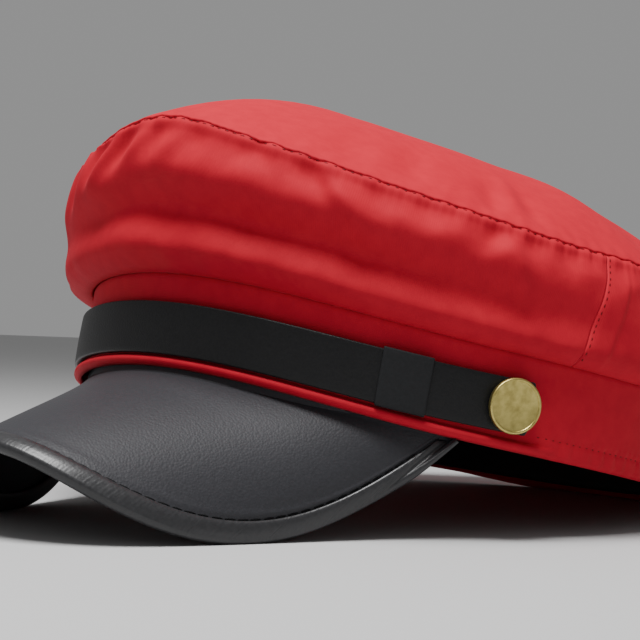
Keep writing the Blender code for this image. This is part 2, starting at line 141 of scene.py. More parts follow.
# Ridges and hollows of the crown's side: angle, height, half-angle, half-height, slant, depth in millimetres
SIDE_FOLDS = (
    # fullness under the seam, from the front round to the wearer's left
    Fold(-14.0, 0.66, 18.0, 0.13, 0.0, 1.0),
    Fold(12.0, 0.68, 16.0, 0.13, 0.0, 1.2),
    Fold(38.0, 0.74, 16.0, 0.14, 0.0, 1.1),
    # hollow across the middle
    Fold(-10.0, 0.41, 18.0, 0.12, 0.0, -2.6),
    Fold(12.0, 0.4, 16.0, 0.13, 0.0, -3.0),
    Fold(34.0, 0.4, 16.0, 0.17, 0.0, -3.2),
    Fold(54.0, 0.34, 14.0, 0.2, 0.0, -2.6),
    # fullness above the band
    Fold(-12.0, 0.15, 16.0, 0.11, 0.0, 1.8),
    Fold(10.0, 0.13, 14.0, 0.1, 0.0, 2.2),
    Fold(34.0, 0.12, 16.0, 0.09, 0.0, 0.9),
    # gathers that run down from the rim
    Fold(-10.5, 0.84, 1.5, 0.17, 16.0, 1.7),
    Fold(-13.4, 0.86, 1.7, 0.16, 16.0, -1.7),
    Fold(-4.0, 0.84, 1.4, 0.15, 14.0, 1.4),
    Fold(-7.0, 0.86, 1.6, 0.15, 14.0, -1.5),
    Fold(2.5, 0.84, 1.5, 0.14, 10.0, 1.6),
    Fold(-0.6, 0.86, 1.6, 0.16, 10.0, -1.5),
    Fold(6.0, 0.86, 2.2, 0.15, 8.0, -1.3),
    Fold(14.5, 0.88, 2.4, 0.12, -4.0, -1.0),
    Fold(21.5, 0.85, 2.2, 0.16, -12.0, -1.7),
    Fold(25.5, 0.8, 2.2, 0.2, -14.0, 1.5),
    Fold(29.5, 0.87, 2.2, 0.15, -10.0, -1.4),
    Fold(35.5, 0.88, 2.0, 0.12, -6.0, -0.9),
    Fold(46.6, 0.85, 1.9, 0.16, 8.0, -1.9),
    Fold(49.8, 0.77, 1.6, 0.26, -7.0, 1.7),
    Fold(53.2, 0.86, 1.8, 0.15, -6.0, -1.5),
    Fold(59.0, 0.86, 2.0, 0.14, -4.0, -0.8),
    Fold(-24.0, 0.8, 2.6, 0.2, 14.0, -1.5),
    Fold(-29.5, 0.76, 2.6, 0.24, 14.0, 1.2),
    Fold(-40.0, 0.42, 9.0, 0.2, 10.0, -1.2),
    Fold(-52.0, 0.8, 3.4, 0.2, 5.0, -0.8),
    Fold(-58.0, 0.5, 10.0, 0.22, 0.0, 0.6),
    # the back
    Fold(84.0, 0.8, 3.0, 0.2, -6.0, -0.9),
    Fold(98.0, 0.45, 12.0, 0.2, 0.0, -1.3),
    Fold(112.0, 0.8, 3.4, 0.2, 6.0, -0.9),
    Fold(119.0, 0.76, 3.4, 0.24, 6.0, 0.8),
    Fold(138.0, 0.46, 15.0, 0.22, 0.0, -1.6),
    Fold(152.0, 0.82, 3.0, 0.18, -7.0, -0.9),
    Fold(170.0, 0.8, 3.4, 0.22, 5.0, -1.0),
    Fold(177.0, 0.74, 3.6, 0.24, 5.0, 0.8),
    Fold(-163.0, 0.5, 14.0, 0.2, 0.0, -1.2),
    Fold(-148.0, 0.8, 3.2, 0.2, 7.0, -0.9),
    Fold(-126.0, 0.8, 3.4, 0.22, -6.0, -0.9),
    Fold(-119.0, 0.44, 13.0, 0.2, 0.0, -1.3),
    Fold(-101.0, 0.8, 3.0, 0.22, 6.0, 0.8),
    Fold(-94.0, 0.82, 3.0, 0.18, 6.0, -0.9),
    Fold(-79.0, 0.5, 8.0, 0.2, 0.0, -0.9),
)

# Ridges and hollows of the crown's top, in the same order, each height a share of the way from middle to rim
TOP_FOLDS = (
    Fold(24.0, 0.9, 3.4, 0.08, 0.0, -1.6),
    Fold(33.0, 0.88, 3.4, 0.1, 0.0, -1.9),
    Fold(46.6, 0.91, 2.6, 0.08, 0.0, -1.9),
    Fold(50.4, 0.86, 2.2, 0.1, 0.0, 0.9),
    Fold(54.4, 0.9, 2.6, 0.09, 0.0, -1.4),
    Fold(88.0, 0.86, 5.0, 0.1, 0.0, -0.9),
    Fold(116.0, 0.88, 4.6, 0.09, 0.0, -0.9),
    Fold(150.0, 0.86, 6.0, 0.12, 0.0, -1.1),
    Fold(-172.0, 0.88, 5.0, 0.09, 0.0, -0.8),
    Fold(-138.0, 0.86, 6.0, 0.12, 0.0, -1.1),
    Fold(-104.0, 0.88, 4.4, 0.09, 0.0, -0.8),
    Fold(-72.0, 0.86, 5.0, 0.1, 0.0, -0.9),
    Fold(-36.0, 0.9, 4.4, 0.08, 0.0, -0.7),
)

# Relief of the hem's roll by height, as shares of the roll's height and of HeadBand.roll_depth
HEM_ROWS = (
    Row(0.0, -0.4),
    Row(0.09, 0.35),
    Row(0.25, 0.85),
    Row(0.5, 1.0),
    Row(0.75, 0.85),
    Row(0.91, 0.3),
    Row(1.0, -0.3),
)

# Upper face of the peak's binding: shares of its width in from the edge, and lift as shares of its wall
BINDING_ROWS = (
    Row(1.0, 0.05),
    Row(0.97, 0.55),
    Row(0.85, 0.95),
    Row(0.68, 1.15),
    Row(0.5, 1.22),
    Row(0.3, 1.18),
    Row(0.13, 1.06),
)


def smooth(rows: Sequence[Row], at: Numbers, level_ends: bool = False) -> Numbers:
    """Read a table at places between its rows, with a smooth curve through them.

    Args:
        rows: the table.
        at: the places.
        level_ends: whether the curve starts and ends level.

    Returns:
        The values there.
    """
    places = np.array([row.at for row in rows])
    values = np.array([row.value for row in rows])
    slopes = np.gradient(values, places)
    slopes[1:-1] = (values[2:] - values[:-2]) / (places[2:] - places[:-2])
    if level_ends:
        slopes[[0, -1]] = 0.0
    index = np.clip(np.searchsorted(places, at, side="right") - 1, 0, len(rows) - 2)
    span = places[index + 1] - places[index]
    k = np.clip((at - places[index]) / span, 0.0, 1.0)
    rise = k * k * (3.0 - 2.0 * k)
    bend = slopes[index] * k * (1.0 - k) ** 2 - slopes[index + 1] * k * k * (1.0 - k)
    return values[index] + (values[index + 1] - values[index]) * rise + span * bend


def fade(edge: float, end: float, at: Numbers) -> Numbers:
    """Go from 1 at edge to 0 at end with a soft step."""
    k = np.clip((end - at) / (end - edge), 0.0, 1.0)
    return k * k * (3.0 - 2.0 * k)


def bell(at: Numbers, centre: float, half: float) -> Numbers:
    """Go from 1 at the centre down towards 0 on both sides, by way of 0.37 at the half-width."""
    return np.exp(-(((at - centre) / half) ** 2))


def wrapped(angle: Numbers) -> Numbers:
    """Bring angles between -180 and 180 degrees, in radians."""
    return (angle + math.pi) % (2.0 * math.pi) - math.pi


def crossed(along: Numbers, up: Numbers) -> tuple[Numbers, Numbers]:
    """Pair every place along with every place up, as two grids."""
    return tuple(np.meshgrid(along, up, indexing="ij"))


def lengths_along(path: Points) -> Numbers:
    """Length of a path from its start to each of its points."""
    return np.concatenate([[0.0], np.cumsum(np.linalg.norm(np.diff(path, axis=0), axis=1))])


def polar(angle: Numbers, radius: Numbers, height: Numbers) -> Points:
    """Place points round the cap: angle 0 is the front, positive angles are at the wearer's left."""
    return np.stack(np.broadcast_arrays(radius * np.sin(angle), -radius * np.cos(angle), height), axis=-1)


def wander(at: Numbers, lowest: int, highest: int, seed: int) -> Numbers:
    """An uneven wave round the cap, the same at -180 and 180 degrees.

    Args:
        at: angles in radians.
        lowest: fewest waves round the cap.
        highest: most waves round the cap.
        seed: picks one wave from many.

    Returns:
        Values that mostly lie between -1 and 1.
    """
    dice = np.random.default_rng(seed)
    total = np.zeros_like(at)
    counts = np.unique(np.linspace(lowest, highest, 14).round())
    for count in counts:
        total += dice.uniform(0.4, 1.0) * np.sin(count * at + dice.uniform(0.0, 2.0 * math.pi))
    return total / math.sqrt(len(counts))


def fold_depth(folds: Sequence[Fold], angle: Numbers, share: Numbers) -> Numbers:
    """Sum of a table's ridges and hollows, in metres."""
    depth = np.zeros(np.broadcast(angle, share).shape)
    for fold in folds:
        turn = np.degrees(angle) - fold.angle - fold.slant * (share - fold.height)
        turn = (turn + 180.0) % 360.0 - 180.0
        across = turn / fold.half_angle
        along = (share - fold.height) / fold.half_height
        depth += 0.001 * fold.depth * np.exp(-across * across - along * along)
    return depth


def unit(vectors: Points) -> Points:
    """Give vectors a length of 1."""
    return vectors / np.maximum(np.linalg.norm(vectors, axis=-1, keepdims=True), 1e-12)


def stand_frame() -> Matrix:
    """Turn and lift that stand the upright cap on its table."""
    turn = STAND_UP.rotation_difference(Vector((0.0, 0.0, 1.0))).to_matrix().to_4x4()
    return Matrix.Translation(STAND_PLACE) @ turn


def on_table(points: Points, pressed: bool = False) -> Points:
    """Take points from the upright cap to the table.

    Args:
        points: places in the cap's own frame.
        pressed: whether the cloth at the back is pressed flat on the table.

    Returns:
        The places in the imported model's frame.
    """
    rows = np.array(stand_frame())
    placed = points @ rows[:3, :3].T + rows[:3, 3]
    if pressed:
        eased = 3.0 * FOOT_PRESS
        height = placed[..., 2]
        flat = np.maximum(height - FOOT_PRESS, 0.0) * eased / (eased - FOOT_PRESS)
        behind = (placed[..., 1] > STAND_PLACE.y) & (height < eased)
        placed[..., 2] = np.where(behind, flat, height)
    return placed


def turned_to_table(ways: Points) -> Points:
    """Take directions from the upright cap to the table."""
    return ways @ np.array(stand_frame())[:3, :3].T


def normals_of(grid: Points) -> Points:
    """Normals of a grid of points, out of the side from which columns then rows turn anticlockwise."""
    along = np.gradient(grid, axis=0)
    across = np.gradient(grid, axis=1)
    return unit(np.cross(along, across))


def deselect() -> None:
    """Leave edit mode and deselect everything."""
    if bpy.context.mode != "OBJECT":
        bpy.ops.object.mode_set(mode="OBJECT")
    bpy.ops.object.select_all(action="DESELECT")


def skin(name: str, grid: Points, layout: Points, closed: bool = True) -> bpy.types.Object:
    """Shape a grid primitive into a sheet whose last row meets its first.

    Args:
        name: the piece's name.
        grid: points by column and row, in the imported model's frame.
        layout: how the sheet lies flat, in metres, by column and row.
        closed: whether open ends are filled.

    Returns:
        The sheet, smooth and with its flat layout as its UV map.
    """
    columns, rows = grid.shape[0] - 1, grid.shape[1] - 1
    deselect()
    bpy.ops.mesh.primitive_grid_add(x_subdivisions=columns, y_subdivisions=rows, size=1.0)
    item = bpy.context.active_object
    item.name = name
    item.data.name = name
    mesh = item.data
    flat = np.zeros(3 * len(mesh.vertices))
    mesh.vertices.foreach_get("co", flat)
    flat = flat.reshape(-1, 3)
    column = np.rint((flat[:, 0] + 0.5) * columns).astype(int)
    row = np.rint((flat[:, 1] + 0.5) * rows).astype(int)
    corner = np.zeros(len(mesh.loops), dtype=int)
    mesh.loops.foreach_get("vertex_index", corner)
    mesh.uv_layers.active.data.foreach_set("uv", layout[column[corner], row[corner]].ravel())
    mesh.vertices.foreach_set("co", grid[column, row].ravel())
    mesh.update()
    bpy.ops.object.mode_set(mode="EDIT")
    bpy.ops.mesh.select_all(action="SELECT")
    bpy.ops.mesh.remove_doubles(threshold=1e-6)
    if closed:
        bpy.ops.mesh.select_all(action="DESELECT")
        bpy.ops.mesh.select_mode(type="EDGE")
        bpy.ops.mesh.select_non_manifold(
            use_wire=False, use_multi_face=False, use_non_contiguous=False, use_verts=False
        )
        bpy.ops.mesh.edge_face_add()
        bpy.ops.mesh.select_mode(type="VERT")
    bpy.ops.mesh.select_all(action="SELECT")
    bpy.ops.mesh.normals_make_consistent(inside=False)
    bpy.ops.object.mode_set(mode="OBJECT")
    bpy.ops.object.shade_smooth()
    return item


def walled(outer: Points, wall: float, kept: int, edge: float = 0.0) -> tuple[Points, Numbers]:
    """Turn an outer face into a whole section: out along it, back along its inner face, and closed.

    Args:
        outer: points of the outer face, by column and row.
        wall: how thick the cloth or leather is.
        kept: how many rows the inner face has.
        edge: how far the folded edges round outwards.

    Returns:
        The section's points, and the outer row that each of its rows lies under.
    """
    rows = outer.shape[1]
    normals = normals_of(outer)
    under = np.rint(np.linspace(rows - 1, 0, kept)).astype(int)
    inner = outer[:, under] - normals[:, under] * wall
    middle = 0.5 * wall
    parts = [outer]
    if edge:
        last = unit(outer[:, -1] - outer[:, -2]) * edge
        first = unit(outer[:, 0] - outer[:, 1]) * edge
        parts.append((outer[:, -1] - normals[:, -1] * middle + last)[:, None])
        parts.append(inner)
        parts.append((outer[:, 0] - normals[:, 0] * middle + first)[:, None])
        source = [np.arange(rows), [rows - 1], under, [0], [0]]
    else:
        parts.append(inner)
        source = [np.arange(rows), under, [0]]
    parts.append(outer[:, :1])
    return np.concatenate(parts, axis=1), np.concatenate(source)


class Recipe:
    """A material's node tree, built step by step round its Principled shader."""

    def __init__(self, name: str, colour: Colour, roughness: float, metallic: float = 0.0):
        """Start a material.

        Args:
            name: the material's name.
            colour: its linear colour.
            roughness: how matt it is.
            metallic: 1 for a metal.
        """
        self.material = bpy.data.materials.new(name)
        self.material.use_nodes = True
        self.nodes = self.material.node_tree.nodes
        self.links = self.material.node_tree.links
        self.surface = self.nodes["Principled BSDF"]
        self.surface.inputs["Base Color"].default_value = (*colour, 1.0)
        self.surface.inputs["Roughness"].default_value = roughness
        self.surface.inputs["Metallic"].default_value = metallic

    def add(self, kind: str, **values: float) -> bpy.types.Node:
        """Add a node and set its inputs, an underscore in a name stands for a space."""
        node = self.nodes.new(kind)
        for name, value in values.items():
            node.inputs[name.replace("_", " ")].default_value = value
        return node

    def join(self, source: Socket, target: Socket) -> None:
        """Link one socket to another."""
        self.links.new(source, target)

    def drive(self, name: str, value: float | tuple[float, ...] | Socket) -> None:
        """Give an input of the shader its value, or what it is read from."""
        if isinstance(value, Socket):
            self.join(value, self.surface.inputs[name])
        else:
            self.surface.inputs[name].default_value = value

    def where(self, own_layout: bool) -> Socket:
        """Where on the piece a pattern is read: its flat layout or its place in the part."""
        place = self.nodes.new("ShaderNodeTexCoord")
        return place.outputs["UV" if own_layout else "Object"]

    def noise(self, place: Socket, size: float, detail: float = 2.0) -> Socket:
        """Uneven grain of a size in metres."""
        node = self.add("ShaderNodeTexNoise", Scale=1.0 / size, Detail=detail, Roughness=0.55)
        self.join(place, node.inputs["Vector"])
        return node.outputs["Fac"]

    def stripes(self, place: Socket, pitch: float, direction: str, wobble: float) -> Socket:
        """Even threads with a pitch in metres."""
        node = self.add("ShaderNodeTexWave", Scale=math.pi / (10.0 * pitch), Distortion=wobble, Detail=1.0)
        node.wave_type = "BANDS"
        node.bands_direction = direction
        node.wave_profile = "SIN"
        self.join(place, node.inputs["Vector"])
        return node.outputs["Fac"]

    def ramp(self, source: Socket, stops: Sequence[tuple[float, tuple[float, ...]]]) -> Socket:
        """Turn a grey value into colours.

        Args:
            source: the grey value.
            stops: places from 0 to 1, each with its linear colour.

        Returns:
            The colour.
        """
        node = self.nodes.new("ShaderNodeValToRGB")
        elements = node.color_ramp.elements
        while len(elements) < len(stops):
            elements.new(0.5)
        for element, (place, colour) in zip(elements, stops):
            element.position = place
            element.color = (*colour, 1.0)
        self.join(source, node.inputs["Fac"])
        return node.outputs["Color"]

    def level(self, source: Socket, low: float, high: float) -> Socket:
        """Stretch a grey value to run from low to high."""
        node = self.add("ShaderNodeMapRange", To_Min=low, To_Max=high)
        self.join(source, node.inputs["Value"])
        return node.outputs["Result"]

    def relief(self, source: Socket, depth: float, under: Socket | None = None) -> Socket:
        """Raise the surface by a grey value times a depth in metres, over another relief.

        Args:
            source: the grey value.
            depth: how far a value of 1 stands up.
            under: the normal that this relief is added to.

        Returns:
            The new normal.
        """
        node = self.add("ShaderNodeBump", Strength=1.0, Distance=depth)
        self.join(source, node.inputs["Height"])
        if under is not None:
            self.join(under, node.inputs["Normal"])
        return node.outputs["Normal"]

    def finish(self, normal: Socket | None = None) -> bpy.types.Material:
        """Give the shader its relief and hand over the material."""
        if normal is not None:
            self.join(normal, self.surface.inputs["Normal"])
        return self.material


@dataclass(frozen=True)
class RedCloth:
    """Satin cotton: a smooth close weave with a soft sheen and slight creases."""

    light: Colour = (0.485, 0.0135, 0.028)
    dark: Colour = (0.445, 0.0115, 0.0255)
    sheen_tint: Colour = (1.0, 0.35, 0.35)
    roughness: float = 0.66
    sheen: float = 0.02
    specular: float = 0.07
    thread: float = 0.0005
    thread_depth: float = 0.000012
    crease: float = 0.009
    crease_depth: float = 0.00016

    def material(self, name: str) -> bpy.types.Material:
        """Make the finish as a material of its own."""
        recipe = Recipe(name, self.light, self.roughness)
        flat = recipe.where(own_layout=True)
        place = recipe.where(own_layout=False)
        cloudy = recipe.noise(place, 0.004, detail=3.0)
        recipe.drive("Base Color", recipe.ramp(cloudy, ((0.35, self.dark), (0.65, self.light))))
        matt = recipe.noise(flat, 0.0012)
        recipe.drive("Roughness", recipe.level(matt, self.roughness - 0.06, self.roughness + 0.1))
        recipe.drive("Specular IOR Level", self.specular)
        recipe.drive("Sheen Weight", self.sheen)
        recipe.drive("Sheen Roughness", 0.35)
        recipe.drive("Sheen Tint", (*self.sheen_tint, 1.0))
        creased = recipe.relief(recipe.noise(place, self.crease, detail=2.0), self.crease_depth)
        warp = recipe.relief(recipe.stripes(flat, self.thread, "X", 0.6), self.thread_depth, creased)
        weft = recipe.relief(recipe.stripes(flat, 0.8 * self.thread, "Y", 0.6), self.thread_depth, warp)
        return recipe.finish(weft)


@dataclass(frozen=True)
class Leather:
    """Grained leather: rounded pebbles over broad creases, its tone mottled at about the grain's size."""

    colour: Colour
    worn: Colour
    roughness: float
    grain: float
    grain_depth: float
    crease: float = 0.012
    crease_depth: float = 0.0002
    specular: float = 0.3

    def material(self, name: str) -> bpy.types.Material:
        """Make the finish as a material of its own."""
        recipe = Recipe(name, self.colour, self.roughness)
        place = recipe.where(own_layout=False)
        cells = recipe.add("ShaderNodeTexVoronoi", Scale=1.0 / self.grain, Randomness=1.0)
        cells.feature = "SMOOTH_F1"
        cells.inputs["Smoothness"].default_value = 0.6
        recipe.join(place, cells.inputs["Vector"])
        cloudy = recipe.noise(place, 1.5 * self.grain, detail=4.0)
        recipe.drive("Base Color", recipe.ramp(cloudy, ((0.3, self.colour), (0.75, self.worn))))
        recipe.drive("Roughness", recipe.level(cloudy, self.roughness - 0.07, self.roughness + 0.09))
        recipe.drive("Specular IOR Level", self.specular)
        creased = recipe.relief(recipe.noise(place, self.crease, detail=3.0), self.crease_depth)
        pebbled = recipe.relief(cells.outputs["Distance"], -self.grain_depth, creased)
        fine = recipe.relief(recipe.noise(place, 0.35 * self.grain, detail=2.0), 0.4 * self.grain_depth, pebbled)
        return recipe.finish(fine)


@dataclass(frozen=True)
class OldBrass:
    """Antique brass: brushed flat, mottled where it has darkened."""

    bright: Colour = (0.6, 0.5, 0.17)
    tarnish: Colour = (0.36, 0.29, 0.09)
    roughness: float = 0.36

    def material(self, name: str) -> bpy.types.Material:
        """Make the finish as a material of its own."""
        recipe = Recipe(name, self.bright, self.roughness, metallic=1.0)
        place = recipe.where(own_layout=False)
        spots = recipe.noise(place, 0.0028, detail=6.0)
        recipe.drive("Base Color", recipe.ramp(spots, ((0.3, self.tarnish), (0.62, self.bright))))
        recipe.drive("Roughness", recipe.level(spots, self.roughness + 0.16, self.roughness - 0.08))
        brushed = recipe.relief(recipe.noise(place, 0.0004, detail=2.0), 0.00002)
        return recipe.finish(recipe.relief(spots, 0.00003, brushed))


@dataclass(frozen=True)
class Thread:
    """Sewing thread, with its twist and painted shade in the twist's grooves."""

    colour: Colour
    roughness: float = 0.6
    specular: float = 0.15

    def material(self, name: str) -> bpy.types.Material:
        """Make the finish as a material of its own."""
        recipe = Recipe(name, self.colour, self.roughness)
        place = recipe.where(own_layout=False)
        # painted shade: the grooves of the twist, the low parts of its relief, are 0.6 times as bright as the thread
        shade = tuple(0.6 * value for value in self.colour)
        twist = recipe.stripes(place, 0.0005, "DIAGONAL", 1.5)
        recipe.drive("Base Color", recipe.ramp(twist, ((0.2, shade), (0.8, self.colour))))
        recipe.drive("Specular IOR Level", self.specular)
        return recipe.finish(recipe.relief(twist, 0.00004))


@dataclass
class Oval:
    """The head's oval at the outside of the hem, which leans out as it goes up and rises over the forehead."""

    half_width: float = 0.0894
    half_length: float = 0.1007
    lean: float = 0.091
    arch_rise: float = 0.0058
    arch_half_angle: float = math.radians(65.4)
    arch_power: float = 1.63
    pinch_angle: float = -46.0
    pinch_half_angle: float = 24.0
    pinch_foot: float = 0.0018
    pinch_lean: float = 0.1

    def arch(self, angle: Numbers) -> Numbers:
        """Rise of the hem over the forehead."""
        turn = np.clip(angle / self.arch_half_angle, -1.0, 1.0)
        return self.arch_rise * (0.5 + 0.5 * np.cos(math.pi * turn)) ** self.arch_power

    def radius(self, angle: Numbers) -> Numbers:
        """Radius of the hem at an angle from the front."""
        return 1.0 / np.hypot(np.sin(angle) / self.half_width, np.cos(angle) / self.half_length)

    def pinch(self, angle: Numbers, height: Numbers) -> Numbers:
        """How far the band is pressed in at the front of the wearer's right."""
        pressed = self.pinch_foot + self.pinch_lean * np.clip(height, 0.0, 0.024)
        return pressed * bell(np.degrees(wrapped(angle)), self.pinch_angle, self.pinch_half_angle)

    def point(self, angle: Numbers, height: Numbers, out: Numbers) -> Points:
        """Point at a height above the hem, and so far out from the band's face."""
        lifted = height + self.arch(angle)
        return polar(angle, self.radius(angle) + self.lean * lifted + out - self.pinch(angle, height), lifted)

    def normal(self, angle: Numbers, height: Numbers, out: Numbers) -> Points:
        """Outward normal of the band's face at a point."""
        step = 0.001
        along = self.point(angle + step, height, out) - self.point(angle - step, height, out)
        up = self.point(angle, height + step, out) - self.point(angle, height - step, out)
        return unit(np.cross(along, up))

    def run(self, angle: Numbers) -> Numbers:
        """Length round the hem from the front to each angle, for angles in rising order round 0."""
        steps = np.linspace(-1.2 * math.pi, 2.0 * math.pi, 1400)
        points = self.point(steps, np.zeros_like(steps), 0.0)
        lengths = lengths_along(points)
        return np.interp(angle, steps, lengths) - np.interp(0.0, steps, lengths)


@dataclass
class StitchRow:
    """A row of equal stitches sunk a little into what they hold."""

    name: str
    pitch: float
    length: float
    radius: float
    sink: float = 0.0001
    seed: int = 3

    def model(self) -> bpy.types.Object:
        """Model one stitch, a short flattened roll with tapered ends, along X."""
        deselect()
        bpy.ops.mesh.primitive_uv_sphere_add(segments=6, ring_count=7, radius=1.0)
        stitch = bpy.context.active_object
        bpy.ops.object.mode_set(mode="EDIT")
        bpy.ops.mesh.select_all(action="SELECT")
        bpy.ops.transform.rotate(value=math.radians(90.0), orient_axis="Y", center_override=(0.0, 0.0, 0.0))
        bpy.ops.transform.resize(value=(0.5 * self.length, self.radius, 0.75 * self.radius))
        bpy.ops.object.mode_set(mode="OBJECT")
        bpy.ops.object.shade_smooth()
        return stitch

    def build(self, path: Points, normals: Points) -> bpy.types.Object:
        """Lay copies of the stitch along a path.

        Args:
            path: points of the path, close together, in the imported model's frame.
            normals: the direction that is up for the stitches at each point.

        Returns:
            All the stitches as one piece.
        """
        lengths = lengths_along(path)
        count = int(lengths[-1] / self.pitch)
        spots = (np.arange(count) + 0.5) * lengths[-1] / count
        dice = np.random.default_rng(self.seed)
        spots = spots + dice.uniform(-0.06, 0.06, count) * self.pitch
        places = np.stack([np.interp(spots, lengths, path[:, axis]) for axis in range(3)], axis=1)
        ups = unit(np.stack([np.interp(spots, lengths, normals[:, axis]) for axis in range(3)], axis=1))
        tangents = np.gradient(path, axis=0)
        ways = np.stack([np.interp(spots, lengths, tangents[:, axis]) for axis in range(3)], axis=1)
        ways = unit(ways - ups * np.sum(ways * ups, axis=1, keepdims=True))
        stitch = self.model()
        copies = []
        for place, way, up in zip(places - ups * self.sink, ways, ups):
            copy = stitch.copy()
            copy.data = stitch.data.copy()
            bpy.context.collection.objects.link(copy)
            stretch = dice.uniform(0.9, 1.08)
            sideways = np.cross(up, way)
            axes = np.stack([stretch * way, sideways, up, place], axis=1)
            copy.matrix_world = Matrix([*axes.tolist(), [0.0, 0.0, 0.0, 1.0]])
            copies.append(copy)
        bpy.data.objects.remove(stitch)
        deselect()
        for copy in copies:
            copy.select_set(True)
        bpy.context.view_layer.objects.active = copies[0]
        bpy.ops.object.join()
        row = bpy.context.active_object
        bpy.ops.object.transform_apply(location=True, rotation=True, scale=True)
        row.name = self.name
        row.data.name = self.name
        return row


def dress(item: bpy.types.Object, material: bpy.types.Material, slot: str, *nodes: str) -> bpy.types.Object:
    """Give a finished piece its material and its body, and hide the imported nodes that it stands for."""
    item.data.materials.clear()
    item.data.materials.append(material)
    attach(item, "root")
    if nodes:
        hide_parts(*nodes)
    LOG.info("%s: %d faces", item.name, len(item.data.polygons))
    return item


@dataclass
class Crown:
    """Domed top panel and two side panels, gathered into the rim and bulging over the band."""

    oval: Oval
    cloth: RedCloth = field(default_factory=RedCloth)
    # thread at well under half the cloth's brightness: painted shade of the pits that the rim and seam stitches pull
    # into the cloth
    thread: Thread = Thread(colour=(0.2, 0.006, 0.01))
    wall: float = 0.0012
    band_height: float = 0.0241
    rim_half_width: float = 0.0895
    rim_front_length: float = 0.118
    rim_back_length: float = 0.1075
    rim_shift: float = 0.0018
    rim_height: float = 0.069
    bulge: float = 0.0056
    overhang: float = 0.0016
    seam_angle: float = math.radians(67.0)
    seam_slant: float = math.radians(3.0)
    lap_width: float = 0.0085
    lap_rise: float = 0.0005
    dome_rise: float = 0.0271
    dome_power: float = 2.81
    dome_centre: tuple[float, float, float] = (0.0, -0.0068, 0.0592)
    puff_angle: float = -37.5
    puff_half_angle: float = 18.5
    puff_share: float = 0.88
    puff_half_share: float = 0.12
    puff_rise: float = 0.0051
    puff_out: float = 0.0011
    rim_inset: float = 0.003
    rim_drop: float = 0.0024
    lip_radius: float = 0.00048
    stitch_pitch: float = 0.0023
    tuck_in: float = 0.00005
    tuck_down: float = 0.0005
    pucker: float = 0.0003
    rim_wave: float = 0.0002
    ripple: float = 0.0005
    seam_radius: float = 0.098
    seam_reach: float = 0.4
    lip_turn: float = math.radians(185.0)
    stitch_share: float = 0.987

    def rim(self, angle: Numbers) -> Points:
        """Point on the edge of the top panel."""
        half_length = np.where(np.cos(angle) > 0.0, self.rim_front_length, self.rim_back_length)
        radius = 1.0 / np.hypot(np.sin(angle) / self.rim_half_width, np.cos(angle) / half_length)
        turned = np.abs(np.degrees(wrapped(angle)))
        height = self.rim_height * smooth(RIM_ROWS, turned, level_ends=True)
        sunk = self.puff(angle)
        edge = polar(angle, radius - self.rim_inset * sunk, height - self.rim_drop * sunk)
        return edge + np.array((0.0, self.rim_shift, 0.0))

    def puff(self, angle: Numbers) -> Numbers:
        """Where the side puffs up over the sunken seam, at the front of the wearer's right."""
        return bell(np.degrees(wrapped(angle)), self.puff_angle, self.puff_half_angle)

    def stitch_wave(self, angle: Numbers) -> Numbers:
        """1 at each of the rim's stitches and 0 half way between them."""
        steps = np.linspace(-math.pi, math.pi, 1200)
        points = self.rim(steps)
        lengths = lengths_along(points)
        count = int(lengths[-1] / self.stitch_pitch)
        along = np.interp(wrapped(angle), steps, lengths) / lengths[-1] * count
        return 0.5 - 0.5 * np.cos(2.0 * math.pi * along)

    def side(self, angle: Numbers, share: Numbers) -> Points:
        """Point on the outer face of the side, the share goes from the band up to the rim."""
        turned = wrapped(angle)
        beside_seam = bell(np.abs(turned), self.seam_angle, self.seam_reach)
        slanted = beside_seam * np.clip(1.0 - share, 0.0, 1.0) ** 1.3
        angle = angle - np.sign(turned) * self.seam_slant * slanted
        low = self.oval.point(angle, self.band_height + 0.2 * GAP, 0.0)
        high = self.rim(angle) - polar(angle, self.tuck_in, self.tuck_down)
        waves = wander(angle, *RIM_WAVES)
        high = high + polar(angle, 0.0, 0.78 * self.rim_wave * waves * share**12)
        place = low + (high - low) * share[..., None]
        # broad fullness, the pressed-in front right, and the folds
        out = self.bulge * smooth(BULGE_ROWS, share)
        pinched = self.oval.pinch(angle, self.band_height) * (1.0 - share)
        out = out + pinched * (1.0 - fade(0.0, 0.14, share))
        swing = np.sin(math.pi * share)
        out = out + fold_depth(SIDE_FOLDS, angle, share) * swing**0.6
        # puckers beside the two seams, and ripples between them
        out = out + self.pucker * bell(share, 0.95, 0.07) * (waves - 0.5 * self.stitch_wave(angle))
        out = out + self.pucker * bell(share, 0.1, 0.1) * wander(angle, 20, 60, 5)
        out = out + self.ripple * swing * wander(angle + 0.35 * share, 9, 26, 8)
        below_rim = bell(share, 0.8, 0.16) * (share < 1.0)
        out = out + self.ripple * below_rim * wander(angle - 0.2 * share, 26, 58, 19)
        # the puff over the sunken seam
        puffed = self.puff(angle)
        puff = puffed * bell(share, self.puff_share, self.puff_half_share) * np.clip((1.0 - share) / 0.06, 0.0, 1.0)
        out = out + self.puff_out * puff + self.rim_inset * puffed * share * np.sqrt(np.clip(swing, 0.0, 1.0))
        hanging = 0.2 + 0.8 * bell(np.degrees(turned), -25.0, 38.0)
        down = self.overhang * hanging * smooth(OVERHANG_ROWS, share) - self.puff_rise * puff
        return place + polar(angle, out, -down)

    def lap(self, angle: Numbers, share: Numbers) -> Numbers:
        """Height of the lapped seam allowance on the back panel, beside both side seams."""
        beyond = (np.abs(wrapped(angle)) - self.seam_angle) * self.seam_radius
        pulled = 1.0 - 0.4 * bell(beyond, 0.001, 0.0007)
        edge = 1.0 - bell(beyond, 0.0, 0.0006)
        ending = fade(self.lap_width - 0.0012, self.lap_width + 0.0006, beyond)
        return self.lap_rise * pulled * edge * ending * np.sin(math.pi * share) ** 0.2

